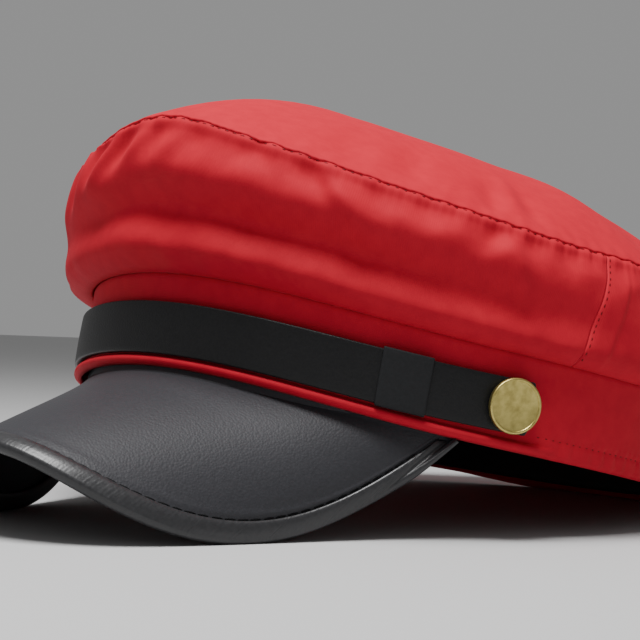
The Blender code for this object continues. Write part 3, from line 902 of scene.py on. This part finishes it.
    def top(self, angle: Numbers, share: Numbers) -> Points:
        """Point on the outer face of the top, the share goes from its middle to its edge."""
        middle = np.array(self.dome_centre)
        place = middle + (self.rim(angle) - middle) * share[..., None]
        rise = self.dome_rise * (1.0 - share ** self.dome_power)
        rise = rise + fold_depth(TOP_FOLDS, angle, share) * (1.0 - share**24)
        rise = rise + self.rim_wave * bell(share, 0.985, 0.03) * wander(angle, *RIM_WAVES)
        rise = rise + 0.0006 * share**2 * (1.0 - share**6) * wander(angle + share, 4, 14, 21)
        place[..., 2] += rise
        return place

    def build_top(self) -> bpy.types.Object:
        """Shape the top panel, with the folded lip that stands over the seam."""
        angle = np.linspace(-math.pi, math.pi, 1381)
        shares = np.concatenate([np.linspace(0.0, 0.9, 20), np.linspace(0.92, 1.0, 9)])
        dome = self.top(*crossed(angle, shares))
        slope = unit(dome[:, -1] - dome[:, -3])
        outward, upward = polar(angle, 1.0, 0.0), np.array((0.0, 0.0, 1.0))
        steep = np.arctan2(-slope[:, 2], np.sum(slope * outward, axis=1))
        radius = self.lip_radius * (1.0 - 0.3 * self.stitch_wave(angle))

        def spoke(turn: Numbers) -> Points:
            """From the heart of the lip out to its face."""
            return radius[:, None] * (outward * np.sin(turn)[:, None] + upward * np.cos(turn)[:, None])

        heart = dome[:, -1] - spoke(steep)
        lip = [heart + spoke(steep + (self.lip_turn - steep) * share) for share in np.linspace(0.0, 1.0, 7)[1:]]
        under = dome[:, [-4, -9, 16, 10, 5, 0]] - self.wall * upward
        upright = np.concatenate([dome, np.stack(lip, axis=1), under], axis=1)
        item = skin("crown_top_cloth", on_table(upright), upright[..., :2], closed=False)
        dress(item, self.cloth.material("red_cloth_top"), "red_cloth_top", "crown_top")
        return item

    def build_side(self, panel: Panel) -> bpy.types.Object:
        """Shape one panel of the side, from the band up to the rim and back down its inner face.

        Args:
            panel: which panel.

        Returns:
            The panel.
        """
        node, slot = panel.value
        angle = np.linspace(-self.seam_angle, self.seam_angle, 401)
        if panel is Panel.BACK:
            start, end = self.seam_angle, 2.0 * math.pi - self.seam_angle
            close = np.linspace(0.0, 0.006, 9) / self.seam_radius
            between = np.linspace(start + close[-1], end - close[-1], 625)[1:-1]
            angle = np.concatenate([start + close, between, (end - close)[::-1]])
        spans = ((0.0, 0.16, 16), (0.18, 0.84, 40), (0.855, 1.0, 14))
        angle, shares = crossed(angle, np.concatenate([np.linspace(*span) for span in spans]))
        outer = self.side(angle, shares)
        if panel is Panel.BACK:
            outer = outer + polar(angle, self.lap(angle, shares), 0.0)
        section, source = walled(outer, self.wall, 12)
        layout = np.stack([self.oval.run(angle), 0.05 * shares], axis=-1)[:, source]
        item = skin(f"{node}_cloth", on_table(section), layout)
        dress(item, self.cloth.material(slot), slot, node)
        return item

    def build_rim_stitches(self) -> bpy.types.Object:
        """Lay the stitches that show under the lip."""
        angle = np.linspace(-math.pi, math.pi, 2400)
        path = self.side(angle, np.full_like(angle, self.stitch_share))
        normals = unit(polar(angle, 1.0, 0.25))
        row = StitchRow("rim_stitches", pitch=self.stitch_pitch, length=0.0014, radius=0.00024, seed=4)
        item = row.build(on_table(path), turned_to_table(normals))
        # the dark thread paints the shade of the stitch pits under the lip
        return dress(item, self.thread.material("rim_thread_painted_pit_shade"), "red_cloth_top")

    def build_seam_stitches(self, side: Side) -> bpy.types.Object:
        """Lay the stitches that close one side seam."""
        share = np.linspace(0.06, 0.97, 160)
        angle = np.full_like(share, side.value * (self.seam_angle + 0.0009 / self.seam_radius))
        path = self.side(angle, share) + polar(angle, self.lap(angle, share), 0.0)
        normals = polar(angle, 1.0, 0.0)
        which = side.name.lower()
        row = StitchRow(f"seam_stitches_{which}", pitch=0.0019, length=0.0013, radius=0.00026, seed=6)
        item = row.build(on_table(path), turned_to_table(normals))
        # the dark thread paints the shade of the stitch pits along the seam
        return dress(item, self.thread.material(f"seam_thread_{which}"), "red_cloth_back")

    def build(self) -> None:
        """Build the crown."""
        self.build_top()
        for panel in Panel:
            self.build_side(panel)
        self.build_rim_stitches()
        for side in Side:
            self.build_seam_stitches(side)


@dataclass
class HeadBand:
    """Cloth band with a rolled, stitched hem, and the leather sweatband inside it."""

    oval: Oval
    cloth: RedCloth = field(default_factory=RedCloth)
    # thread at well under half the cloth's brightness: painted shade of the pits that the hem stitches pull into the
    # cloth
    thread: Thread = Thread(colour=(0.2, 0.006, 0.01))
    sweat: Leather = Leather(
        colour=(0.006, 0.006, 0.0065), worn=(0.01, 0.01, 0.011), roughness=0.62, grain=0.0009, grain_depth=0.00003
    )
    height: float = 0.0241
    wall: float = 0.0014
    seam_rows: tuple[float, ...] = (0.0002, 0.0006, 0.0012)
    roll_height: float = 0.003
    roll_depth: float = 0.0016
    stitch_height: float = 0.005
    stitch_start: float = math.radians(60.5)
    stitch_pitch: float = 0.0023
    press_end: float = math.radians(58.9)
    press_ease: float = math.radians(7.0)
    sweat_wall: float = 0.001
    sweat_height: float = 0.029
    sweat_lift: float = 0.0012
    sweat_out: float = -0.0042

    def relief(self, angle: Numbers, height: Numbers) -> Numbers:
        """How far the band's face stands out: the strap's pressed stretch, the rolled hem and its stitches."""
        covered = fade(self.press_end, self.press_end + self.press_ease, np.abs(wrapped(angle)))
        roll = smooth(HEM_ROWS, height / self.roll_height)
        pressed = -0.38 * fade(0.0175, self.height, height)
        under_strap = np.where(height < self.roll_height, roll, pressed)
        groove = -0.19 * bell(height, self.stitch_height, 0.0007)
        folded = -0.56 * fade(0.0, 0.0011, height)
        along = self.oval.run(wrapped(angle)) / self.stitch_pitch
        puckers = 0.06 * np.cos(2.0 * math.pi * along) * bell(height, self.stitch_height, 0.0019)
        puckers = puckers + 0.1 * wander(angle, 70, 140, 31) * fade(0.004, 0.007, height)
        sewn = folded + groove + puckers
        waves = 0.19 * wander(angle, 8, 30, 17) * np.sin(math.pi * np.clip(height / self.height, 0.0, 1.0))
        tucked = self.wall * fade(self.height + self.seam_rows[-1], self.height, height)
        return self.roll_depth * (covered * under_strap + (1.0 - covered) * (sewn + waves)) - tucked

    def build_band(self) -> bpy.types.Object:
        """Shape the band."""
        hem, face = np.linspace(0.0, 0.0072, 20), np.linspace(0.0082, self.height, 16)
        heights = np.concatenate([hem, face, self.height + np.array(self.seam_rows)])
        angle, heights = crossed(np.linspace(-math.pi, math.pi, 1301), heights)
        outer = self.oval.point(angle, heights, self.relief(angle, heights))
        section, source = walled(outer, self.wall, 7)
        layout = np.stack([self.oval.run(angle), heights], axis=-1)[:, source]
        item = skin("band_cloth", on_table(section, pressed=True), layout, closed=False)
        dress(item, self.cloth.material("red_cloth_band"), "red_cloth_band", "band")
        return item

    def build_hem_stitches(self) -> bpy.types.Object:
        """Lay the stitches above the hem, from behind one end of the strap round to the other."""
        angle = np.linspace(self.stitch_start, 2.0 * math.pi - self.stitch_start, 1600)
        height = np.full_like(angle, self.stitch_height)
        path = self.oval.point(angle, height, self.relief(angle, height))
        normals = self.oval.normal(angle, height, 0.0)
        row = StitchRow("hem_stitches", pitch=self.stitch_pitch, length=0.0013, radius=0.00024, seed=8)
        item = row.build(on_table(path, pressed=True), turned_to_table(normals))
        # the dark thread paints the shade of the stitch pits above the hem
        return dress(item, self.thread.material("hem_thread_painted_pit_shade"), "red_cloth_band")

    def build_sweatband(self) -> bpy.types.Object:
        """Shape the sweatband, with a rolled edge at its top."""
        angle, heights = crossed(np.linspace(-math.pi, math.pi, 421), np.linspace(0.0, self.sweat_height, 24))
        roll = 0.0003 * bell(heights, self.sweat_height - 0.001, 0.0009)
        outer = self.oval.point(angle, self.sweat_lift + heights, self.sweat_out + roll)
        section, source = walled(outer, self.sweat_wall, 14, edge=0.0002)
        layout = np.stack([self.oval.run(angle), heights], axis=-1)[:, source]
        item = skin("sweatband_leather", on_table(section), layout, closed=False)
        return dress(item, self.sweat.material("sweatband_leather"), "sweatband_leather", "sweatband")

    def build(self) -> None:
        """Build the band."""
        self.build_band()
        self.build_hem_stitches()
        self.build_sweatband()


@dataclass
class Strap:
    """Flat leather strap over the band, with a keeper and two brass buttons."""

    oval: Oval
    leather: Leather = Leather(
        colour=(0.008, 0.008, 0.0085), worn=(0.012, 0.012, 0.0125), roughness=0.42, grain=0.0005, grain_depth=0.00005,
        crease_depth=0.00003, specular=0.2,
    )
    keeper_leather: Leather = Leather(
        colour=(0.013, 0.0135, 0.0145), worn=(0.018, 0.0185, 0.02), roughness=0.6, grain=0.0006, grain_depth=0.00002,
        crease_depth=0.00006, specular=0.16,
    )
    brass: OldBrass = field(default_factory=OldBrass)
    width: float = 0.0136
    wall: float = 0.0018
    height: float = 0.0031
    lift: float = 0.0012
    out: float = 0.0001
    corner: float = 0.00045
    end: float = 0.0057
    keeper_angle: float = math.radians(38.0)
    keeper_width: float = 0.0125
    keeper_wall: float = 0.0004
    button_angle: float = math.radians(54.8)
    button_out: float = 0.0026
    button_radius: float = 0.0071
    button_thickness: float = 0.0018
    button_lip: float = 0.0008
    post_radius: float = 0.0016
    post_length: float = 0.0048
    tip_radius: float = 0.095
    tip_length: float = 0.0009
    dome: float = 0.00018

    def low(self, angle: Numbers) -> Numbers:
        """Height of the strap's lower edge above the hem."""
        return self.height + self.lift * (angle / self.button_angle) ** 2

    def radius(self, angle: float, height: float) -> float:
        """Radius of the strap's inner face at an angle and a height above the hem."""
        point = self.oval.point(np.array([angle]), np.array([height]), self.out)
        return float(np.linalg.norm(point[0, :2]))

    def section(self, low: float, high: float, near: float, far: float, corner: float, steps: int) -> Numbers:
        """Rounded oblong section, as heights and distances out, whose last point is its first.

        Args:
            low: lowest height.
            high: highest height.
            near: least distance out.
            far: greatest distance out.
            corner: radius of its corners.
            steps: points on each long face.

        Returns:
            Pairs of height and distance out.
        """
        turns = np.radians(np.linspace(0.0, 90.0, 4))
        sine, cosine = corner * np.sin(turns), corner * np.cos(turns)
        bottom, top, back, front = low + corner, high - corner, near + corner, far - corner
        parts = (
            (np.linspace(bottom, top, steps), np.full(steps, far)),
            ((top + sine)[1:], (front + cosine)[1:]),
            (top + cosine, back - sine),
            (np.linspace(top, bottom, steps // 2)[1:], np.full(steps // 2 - 1, near)),
            ((bottom - sine)[1:], (back - cosine)[1:]),
            (bottom - cosine, front + sine),
        )
        return np.concatenate([np.stack(part, axis=1) for part in parts])

    def build_strap(self) -> bpy.types.Object:
        """Shape the strap, slightly domed across and with softly rounded ends."""
        end = self.button_angle + self.end / self.radius(self.button_angle, self.low(self.button_angle))
        section = self.section(0.0, self.width, 0.0, self.wall, self.corner, 12)
        angle = np.linspace(-end, end, 361)
        tips = np.minimum(np.abs(np.abs(angle) - end) * self.tip_radius / self.tip_length, 1.0)
        squeeze = np.sqrt(1.0 - (1.0 - tips) ** 2)
        middle = 0.5 * self.width
        heights = middle + (section[None, :, 0] - middle) * (0.86 + 0.14 * squeeze[:, None])
        across = (section[None, :, 0] - middle) / middle
        dome = self.dome * (1.0 - across**2) * (section[None, :, 1] > 0.5 * self.wall)
        thick = 0.5 * self.wall + (section[None, :, 1] - 0.5 * self.wall) * (0.55 + 0.45 * squeeze[:, None]) + dome
        angle = angle[:, None] + 0.0 * heights
        points = self.oval.point(angle, self.low(angle) + heights, self.out + thick)
        layout = np.stack([self.oval.run(angle), heights], axis=-1)
        item = skin("strap_leather", on_table(points), layout)
        return dress(item, self.leather.material("strap_leather"), "strap_leather", "strap")

    def build_keeper(self) -> bpy.types.Object:
        """Shape the flat loop round the strap, as a ring whose wall is rounded at its two open edges."""
        clear, wall = 0.5 * GAP, self.keeper_wall
        inside = self.section(-clear, self.width + clear, -clear, self.wall + clear, 0.0003, 12)
        low, high = -clear - wall, self.width + clear + wall
        outside = self.section(low, high, low + 0.0002, self.wall + 2.0 * clear + wall, 0.0005, 12)
        half = 0.5 * self.keeper_width / self.radius(self.keeper_angle, self.height)
        edge = [inside + (outside - inside) * share for share in (0.5, 0.85)]
        rows = [(-1.0, edge[0]), (-0.985, edge[1])]
        rows += [(share, outside) for share in (-0.97, *np.linspace(-1.0, 1.0, 21)[1:-1], 0.97)]
        rows += [(0.985, edge[1]), (1.0, edge[0])]
        rows += [(share, inside) for share in np.linspace(0.98, -0.98, 9)]
        rows.append(rows[0])
        points = []
        for share, section in rows:
            angle = np.full(len(section), self.keeper_angle + share * half)
            points.append(self.oval.point(angle, self.low(angle) + section[:, 0], self.out + section[:, 1]))
        grid = np.stack(points, axis=1)
        across = np.array([share * 0.5 * self.keeper_width for share, _ in rows])
        layout = np.stack(np.broadcast_arrays(across[None, :], outside[:, :1]), axis=-1)
        item = skin("strap_keeper_leather", on_table(grid), layout, closed=False)
        return dress(item, self.keeper_leather.material("keeper_leather"), "keeper_leather", "strap_keeper")

    def button_frame(self, side: Side) -> Matrix:
        """Place and turn of a button: its axis along the band's normal, its back on the strap."""
        angle = np.array([side.value * self.button_angle])
        height = self.low(angle) + 0.5 * self.width
        place = Vector(self.oval.point(angle, height, self.button_out)[0])
        normal = Vector(self.oval.normal(angle, height, self.button_out)[0])
        turn = normal.to_track_quat("Z", "Y").to_matrix().to_4x4()
        return stand_frame() @ Matrix.Translation(place) @ turn

    def build_button(self, side: Side) -> bpy.types.Object:
        """Turn a button: a disc with a rolled lip, on the post that goes through the strap and the band."""
        name = f"button_{side.name.lower()}"
        radius, top, lip = self.button_radius, self.button_thickness, self.button_lip
        reach, level = radius - 1.5 * lip, top - 0.45 * lip
        deselect()
        bpy.ops.mesh.primitive_circle_add(vertices=72, radius=reach, fill_type="NGON", location=(0.0, 0.0, level))
        item = bpy.context.active_object
        item.name = f"{name}_brass"
        item.data.name = item.name
        bpy.ops.object.transform_apply(location=True, rotation=False, scale=False)
        bpy.ops.object.mode_set(mode="EDIT")
        bpy.ops.mesh.select_all(action="SELECT")
        bpy.ops.mesh.flip_normals()
        profile = (
            (radius - 1.05 * lip, top - 0.36 * lip),
            (radius - 0.9 * lip, top - 0.1 * lip),
            (radius - 0.62 * lip, top),
            (radius - 0.3 * lip, top - 0.04 * lip),
            (radius - 0.08 * lip, top - 0.26 * lip),
            (radius, top - 0.55 * lip),
            (radius - 0.05 * lip, 0.5 * lip),
            (radius - 0.3 * lip, 0.12 * lip),
            (radius - 0.7 * lip, 0.0),
            (self.post_radius, 0.0),
            (self.post_radius, -self.post_length),
        )
        bpy.ops.mesh.select_mode(type="EDGE")
        for wide, high in profile:
            bpy.ops.mesh.select_all(action="DESELECT")
            bpy.ops.object.mode_set(mode="OBJECT")
            for edge in item.data.edges:
                ends = [item.data.vertices[index].co for index in edge.vertices]
                edge.select = all(abs(end.xy.length - reach) < 1e-6 and abs(end.z - level) < 1e-6 for end in ends)
            bpy.ops.object.mode_set(mode="EDIT")
            bpy.ops.mesh.extrude_region_move(TRANSFORM_OT_translate={"value": (0.0, 0.0, high - level)})
            scale = wide / reach
            bpy.ops.transform.resize(value=(scale, scale, 1.0), center_override=(0.0, 0.0, high))
            reach, level = wide, high
        bpy.ops.mesh.edge_face_add()
        bpy.ops.mesh.select_mode(type="VERT")
        bpy.ops.mesh.select_all(action="SELECT")
        bpy.ops.mesh.normals_make_consistent(inside=False)
        bpy.ops.object.mode_set(mode="OBJECT")
        item.data.transform(self.button_frame(side))
        bpy.ops.object.shade_smooth_by_angle(angle=math.radians(40.0))
        slot = f"brass_{side.name.lower()}"
        return dress(item, self.brass.material(slot), slot, name)

    def build(self) -> None:
        """Build the strap with what it carries."""
        self.build_strap()
        self.build_keeper()
        for side in Side:
            self.build_button(side)


@dataclass
class Peak:
    """Curved leather peak, bound and stitched along its edge."""

    oval: Oval
    leather: Leather = Leather(
        colour=(0.028, 0.028, 0.0315), worn=(0.034, 0.034, 0.0385), roughness=0.48, grain=0.0006, grain_depth=0.00006,
        crease_depth=0.00002, specular=0.2,
    )
    binding_leather: Leather = Leather(
        colour=(0.017, 0.017, 0.0185), worn=(0.026, 0.026, 0.028), roughness=0.36, grain=0.0007, grain_depth=0.00002,
        crease=0.004, crease_depth=0.00006, specular=0.5,
    )
    thread: Thread = Thread(colour=(0.004, 0.004, 0.0045), roughness=0.7)
    reach: float = 0.0575
    roundness: float = 2.34
    falloff: float = 0.456
    end: float = 0.002
    end_tuck: float = 0.0026
    half_angle: float = math.radians(46.9)
    wall: float = 0.0014
    slope: float = math.radians(26.5)
    droop: float = math.radians(75.5)
    droop_ease: float = math.radians(46.6)
    narrowing: float = 1.08
    lean: float = math.radians(5.0)
    tab_height: float = 0.005
    tab_out: float = -0.0025
    crown: float = 0.0008
    binding_width: float = 0.0043
    binding_wall: float = 0.0007
    stitch_inset: float = 0.0046
    stitch_pitch: float = 0.0034
    ending_start: float = 0.955
    ending_thin: float = 0.65
    crinkle_depth: float = 0.000016

    def edge(self, t: Numbers) -> Points:
        """Point on the peak's outer edge, t goes from -1 at one end to 1 at the other."""
        angle = self.half_angle * t
        slope = self.slope + self.droop * t**2 - self.droop_ease * t**4 - self.lean * t
        reach = self.reach * np.clip(1.0 - np.abs(t) ** self.roundness, 0.0, 1.0) ** self.falloff
        reach = reach + self.end - self.end_tuck * self.ending(t)
        turn = -self.narrowing * t**2 * angle
        level = np.cos(slope) * reach
        way = np.stack([np.sin(turn) * level, -np.cos(turn) * level, -np.sin(slope) * reach], axis=-1)
        return self.oval.point(angle, np.full_like(t, -GAP), 0.0) + way

    def ending(self, t: Numbers) -> Numbers:
        """0 along the peak, and up to 1 at each end, where it goes in under the band."""
        return np.clip((np.abs(t) - self.ending_start) / (1.0 - self.ending_start), 0.0, 1.0) ** 2

    def ruled(self, t: Numbers, share: Numbers) -> Points:
        """Point on the straight lines from the band to the edge."""
        start = self.oval.point(self.half_angle * t, np.full_like(t, -GAP), self.tab_out)
        return start + (self.edge(t) - start) * share[..., None]

    def slopes(self, t: Numbers, share: Numbers) -> tuple[Points, Points]:
        """Change of the peak's face with t and with the share."""
        step = 0.002
        before, after = np.maximum(t - step, -1.0), np.minimum(t + step, 1.0)
        along = (self.ruled(after, share) - self.ruled(before, share)) / (after - before)[..., None]
        down = (self.ruled(t, share + step) - self.ruled(t, share - step)) / (2.0 * step)
        return along, down

    def edge_distance(self, t: Numbers) -> Numbers:
        """Distance from the edge, square to it, back to where the peak meets the band."""
        along, down = self.slopes(t, np.ones_like(t))
        return np.linalg.norm(np.cross(along, down), axis=-1) / np.linalg.norm(along, axis=-1)

    def face(self, t: Numbers, inset: Numbers, rise: Numbers) -> Points:
        """Point over the face, so far in from the edge, square to it, and so far above the face.

        Args:
            t: from -1 to 1 along the edge.
            inset: how far in from the edge, or beyond it where negative.
            rise: how far above the upper face.

        Returns:
            The points.
        """
        along, down = self.slopes(t, np.ones_like(t))
        normal = unit(np.cross(down, along))
        outward = unit(np.cross(along, normal))
        beyond = self.edge(t) - outward * inset[..., None] + normal * rise[..., None]
        share = np.clip(1.0 - inset / self.edge_distance(t), 0.0, 1.0)
        along, down = self.slopes(t, share)
        inside = self.ruled(t, share) + unit(np.cross(down, along)) * rise[..., None]
        return np.where((inset <= 0.0)[..., None], beyond, inside)

    def leaf(self, t: Numbers) -> Numbers:
        """Width of the binding, less where the peak runs out at its ends."""
        return np.minimum(1.0, 0.96 * self.edge_distance(t) / self.binding_width) * self.binding_width

    def spread(self, count: int) -> Numbers:
        """Values of t, closer together towards the ends."""
        return np.sin(0.5 * math.pi * np.linspace(-1.0, 1.0, count))

    def build_peak(self) -> bpy.types.Object:
        """Shape the peak with its tab up inside the band."""
        t = self.spread(321)[:, None]
        inner = 1.0 - self.leaf(t) / self.edge_distance(t)
        bound = inner + (1.0 - inner) * np.linspace(0.15, 1.0, 7)
        share = np.concatenate([inner * np.linspace(0.0, 1.0, 34), bound], axis=1)
        t = t + 0.0 * share
        face = self.ruled(t, share)
        along, down = self.slopes(t, share)
        normal = unit(np.cross(down, along))
        inset = (1.0 - share) * self.edge_distance(t)
        ridge = 0.00028 * bell(inset, self.stitch_inset + 0.0012, 0.0006)
        groove = -0.0003 * bell(inset, self.stitch_inset, 0.00055)
        swell = self.crown * np.sin(math.pi * share) * (1.0 - t**4)
        face = face + normal * (swell + (ridge + groove) * (1.0 - t**12))[..., None]
        tab = self.oval.point(self.half_angle * t[:, :1], np.full_like(t[:, :1], self.tab_height), self.tab_out)
        outer = np.concatenate([tab, face], axis=1)[::-1]
        section, source = walled(outer, self.wall, 12)
        layout = np.stack([outer[..., 0], -outer[..., 1]], axis=-1)[:, source]
        item = skin("peak_leather", on_table(section), layout)
        return dress(item, self.leather.material("peak_leather"), "peak_leather", "peak")

    def build_binding(self) -> bpy.types.Object:
        """Shape the binding as a soft crinkled roll round the edge."""
        t = self.spread(1121)[:, None]
        under = -self.wall - GAP
        wall = self.binding_wall
        heart, half = 0.5 * under, 0.5 * (GAP - under) + wall
        over = [(row.at, 0.0, GAP + row.value * wall) for row in BINDING_ROWS]
        round_edge = [
            (0.0, -0.9 * half * math.sin(turn) - 0.0001, heart + half * math.cos(turn))
            for turn in np.linspace(0.0, math.pi, 17)
        ]
        below = [(share, 0.0, under - lift * wall) for share, lift in ((0.3, 1.0), (0.6, 1.0), (0.9, 0.9), (1.0, 0.1))]
        inside = [(0.5, 0.0, under), (0.02, 0.0, under), (0.0, -0.0004, heart), (0.02, 0.0, GAP), (0.5, 0.0, GAP)]
        rows = np.array([*over, *round_edge, *below, *inside, over[0]])
        thin = 1.0 - self.ending_thin * self.ending(t)
        inset = self.leaf(t) * rows[:, 0] + rows[:, 1] * thin
        rise = heart + (rows[:, 2] - heart) * thin
        seen = len(over) + 13
        crinkle = self.crinkle(t) * np.sin(np.linspace(0.0, math.pi, seen)) ** 0.7
        rise[:, :seen] += self.crinkle_depth * crinkle
        points = self.face(t + 0.0 * inset, inset, rise)
        layout = np.stack(np.broadcast_arrays(0.2 * t, np.linspace(0.0, 0.016, len(rows))[None, :]), axis=-1)
        placed = on_table(points)
        placed[..., 2] = np.maximum(placed[..., 2], 0.0)
        item = skin("peak_binding_leather", placed, layout)
        return dress(item, self.binding_leather.material("binding_leather"), "binding_leather", "peak_binding")

    def crinkle(self, t: Numbers) -> Numbers:
        """Small uneven creases square to the edge."""
        return wander(t, 300, 640, 41) + wander(t, 640, 1100, 42)

    def build_stitches(self) -> bpy.types.Object:
        """Lay the long stitches along the inner side of the binding."""
        t = np.linspace(-0.995, 0.995, 2400)
        t = t[self.edge_distance(t) > self.stitch_inset + 0.0016]
        inset = np.full_like(t, self.stitch_inset)
        rise = np.full_like(t, 0.0001)
        path = on_table(self.face(t, inset, rise))
        above = on_table(self.face(t, inset, rise + 0.001))
        row = StitchRow("peak_stitches", pitch=self.stitch_pitch, length=0.0029, radius=0.00032, sink=0.0, seed=9)
        item = row.build(path, unit(above - path))
        return dress(item, self.thread.material("peak_thread"), "peak_leather")

    def build(self) -> None:
        """Build the peak."""
        self.build_peak()
        self.build_binding()
        self.build_stitches()


@dataclass
class Studio:
    """Pale floor, soft light and the camera."""

    floor_colour: Colour = (0.5, 0.5, 0.5)
    floor_radius: float = 9.0
    world_strength: float = 0.3
    camera_place: tuple[float, float, float] = (0.315082, -0.398042, 0.049572)
    camera_back: tuple[float, float, float] = (0.636112, -0.771532, -0.01001)
    camera_up: tuple[float, float, float] = (-0.022177, -0.031249, 0.999266)
    focal_pixels: float = 1733.208
    image_pixels: float = 640.0
    light_place: tuple[float, float, float] = (0.08, -0.26, 0.92)
    light_aim: tuple[float, float, float] = (0.0, 0.0, 0.05)
    light_size: float = 0.42
    light_power: float = 17.0

    def build_floor(self) -> bpy.types.Object:
        """Lay a wide round floor."""
        deselect()
        bpy.ops.mesh.primitive_circle_add(vertices=96, radius=self.floor_radius, fill_type="NGON")
        floor = bpy.context.active_object
        floor.name = "studio_floor"
        floor.data.materials.append(Recipe("studio_floor", self.floor_colour, 0.9).finish())
        return floor

    def build_light(self) -> None:
        """Hang one soft square light, above the cap and a little towards the camera."""
        deselect()
        bpy.ops.object.light_add(type="AREA", location=self.light_place)
        light = bpy.context.active_object
        light.name = "overhead"
        light.data.shape = "SQUARE"
        light.data.size = self.light_size
        light.data.energy = self.light_power
        light.rotation_euler = (Vector(self.light_place) - Vector(self.light_aim)).to_track_quat("Z", "Y").to_euler()

    def build_world(self) -> None:
        """Fill the room with even pale light."""
        world = bpy.data.worlds.new("studio")
        world.use_nodes = True
        background = world.node_tree.nodes["Background"]
        background.inputs["Color"].default_value = (1.0, 1.0, 1.0, 1.0)
        background.inputs["Strength"].default_value = self.world_strength
        bpy.context.scene.world = world

    def build_camera(self) -> None:
        """Set the camera at the photograph's angle."""
        deselect()
        bpy.ops.object.camera_add()
        camera = bpy.context.active_object
        camera.name = "camera"
        back, up = Vector(self.camera_back), Vector(self.camera_up)
        right = up.cross(back)
        turn = Matrix((right, up, back)).transposed().to_4x4()
        camera.matrix_world = Matrix.Translation(self.camera_place) @ turn
        camera.data.sensor_width = 36.0
        camera.data.lens = 36.0 * self.focal_pixels / self.image_pixels
        camera.data.clip_start = 0.01
        bpy.context.scene.camera = camera

    def build(self) -> None:
        """Build the studio."""
        self.build_floor()
        self.build_world()
        self.build_light()
        self.build_camera()


def main() -> None:
    """Build the studio and each part of the cap."""
    logging.basicConfig(level=logging.INFO, format="%(message)s")
    oval = Oval()
    Studio().build()
    for part in (Crown(oval), HeadBand(oval), Strap(oval), Peak(oval)):
        part.build()


if __name__ == "__main__":
    main()
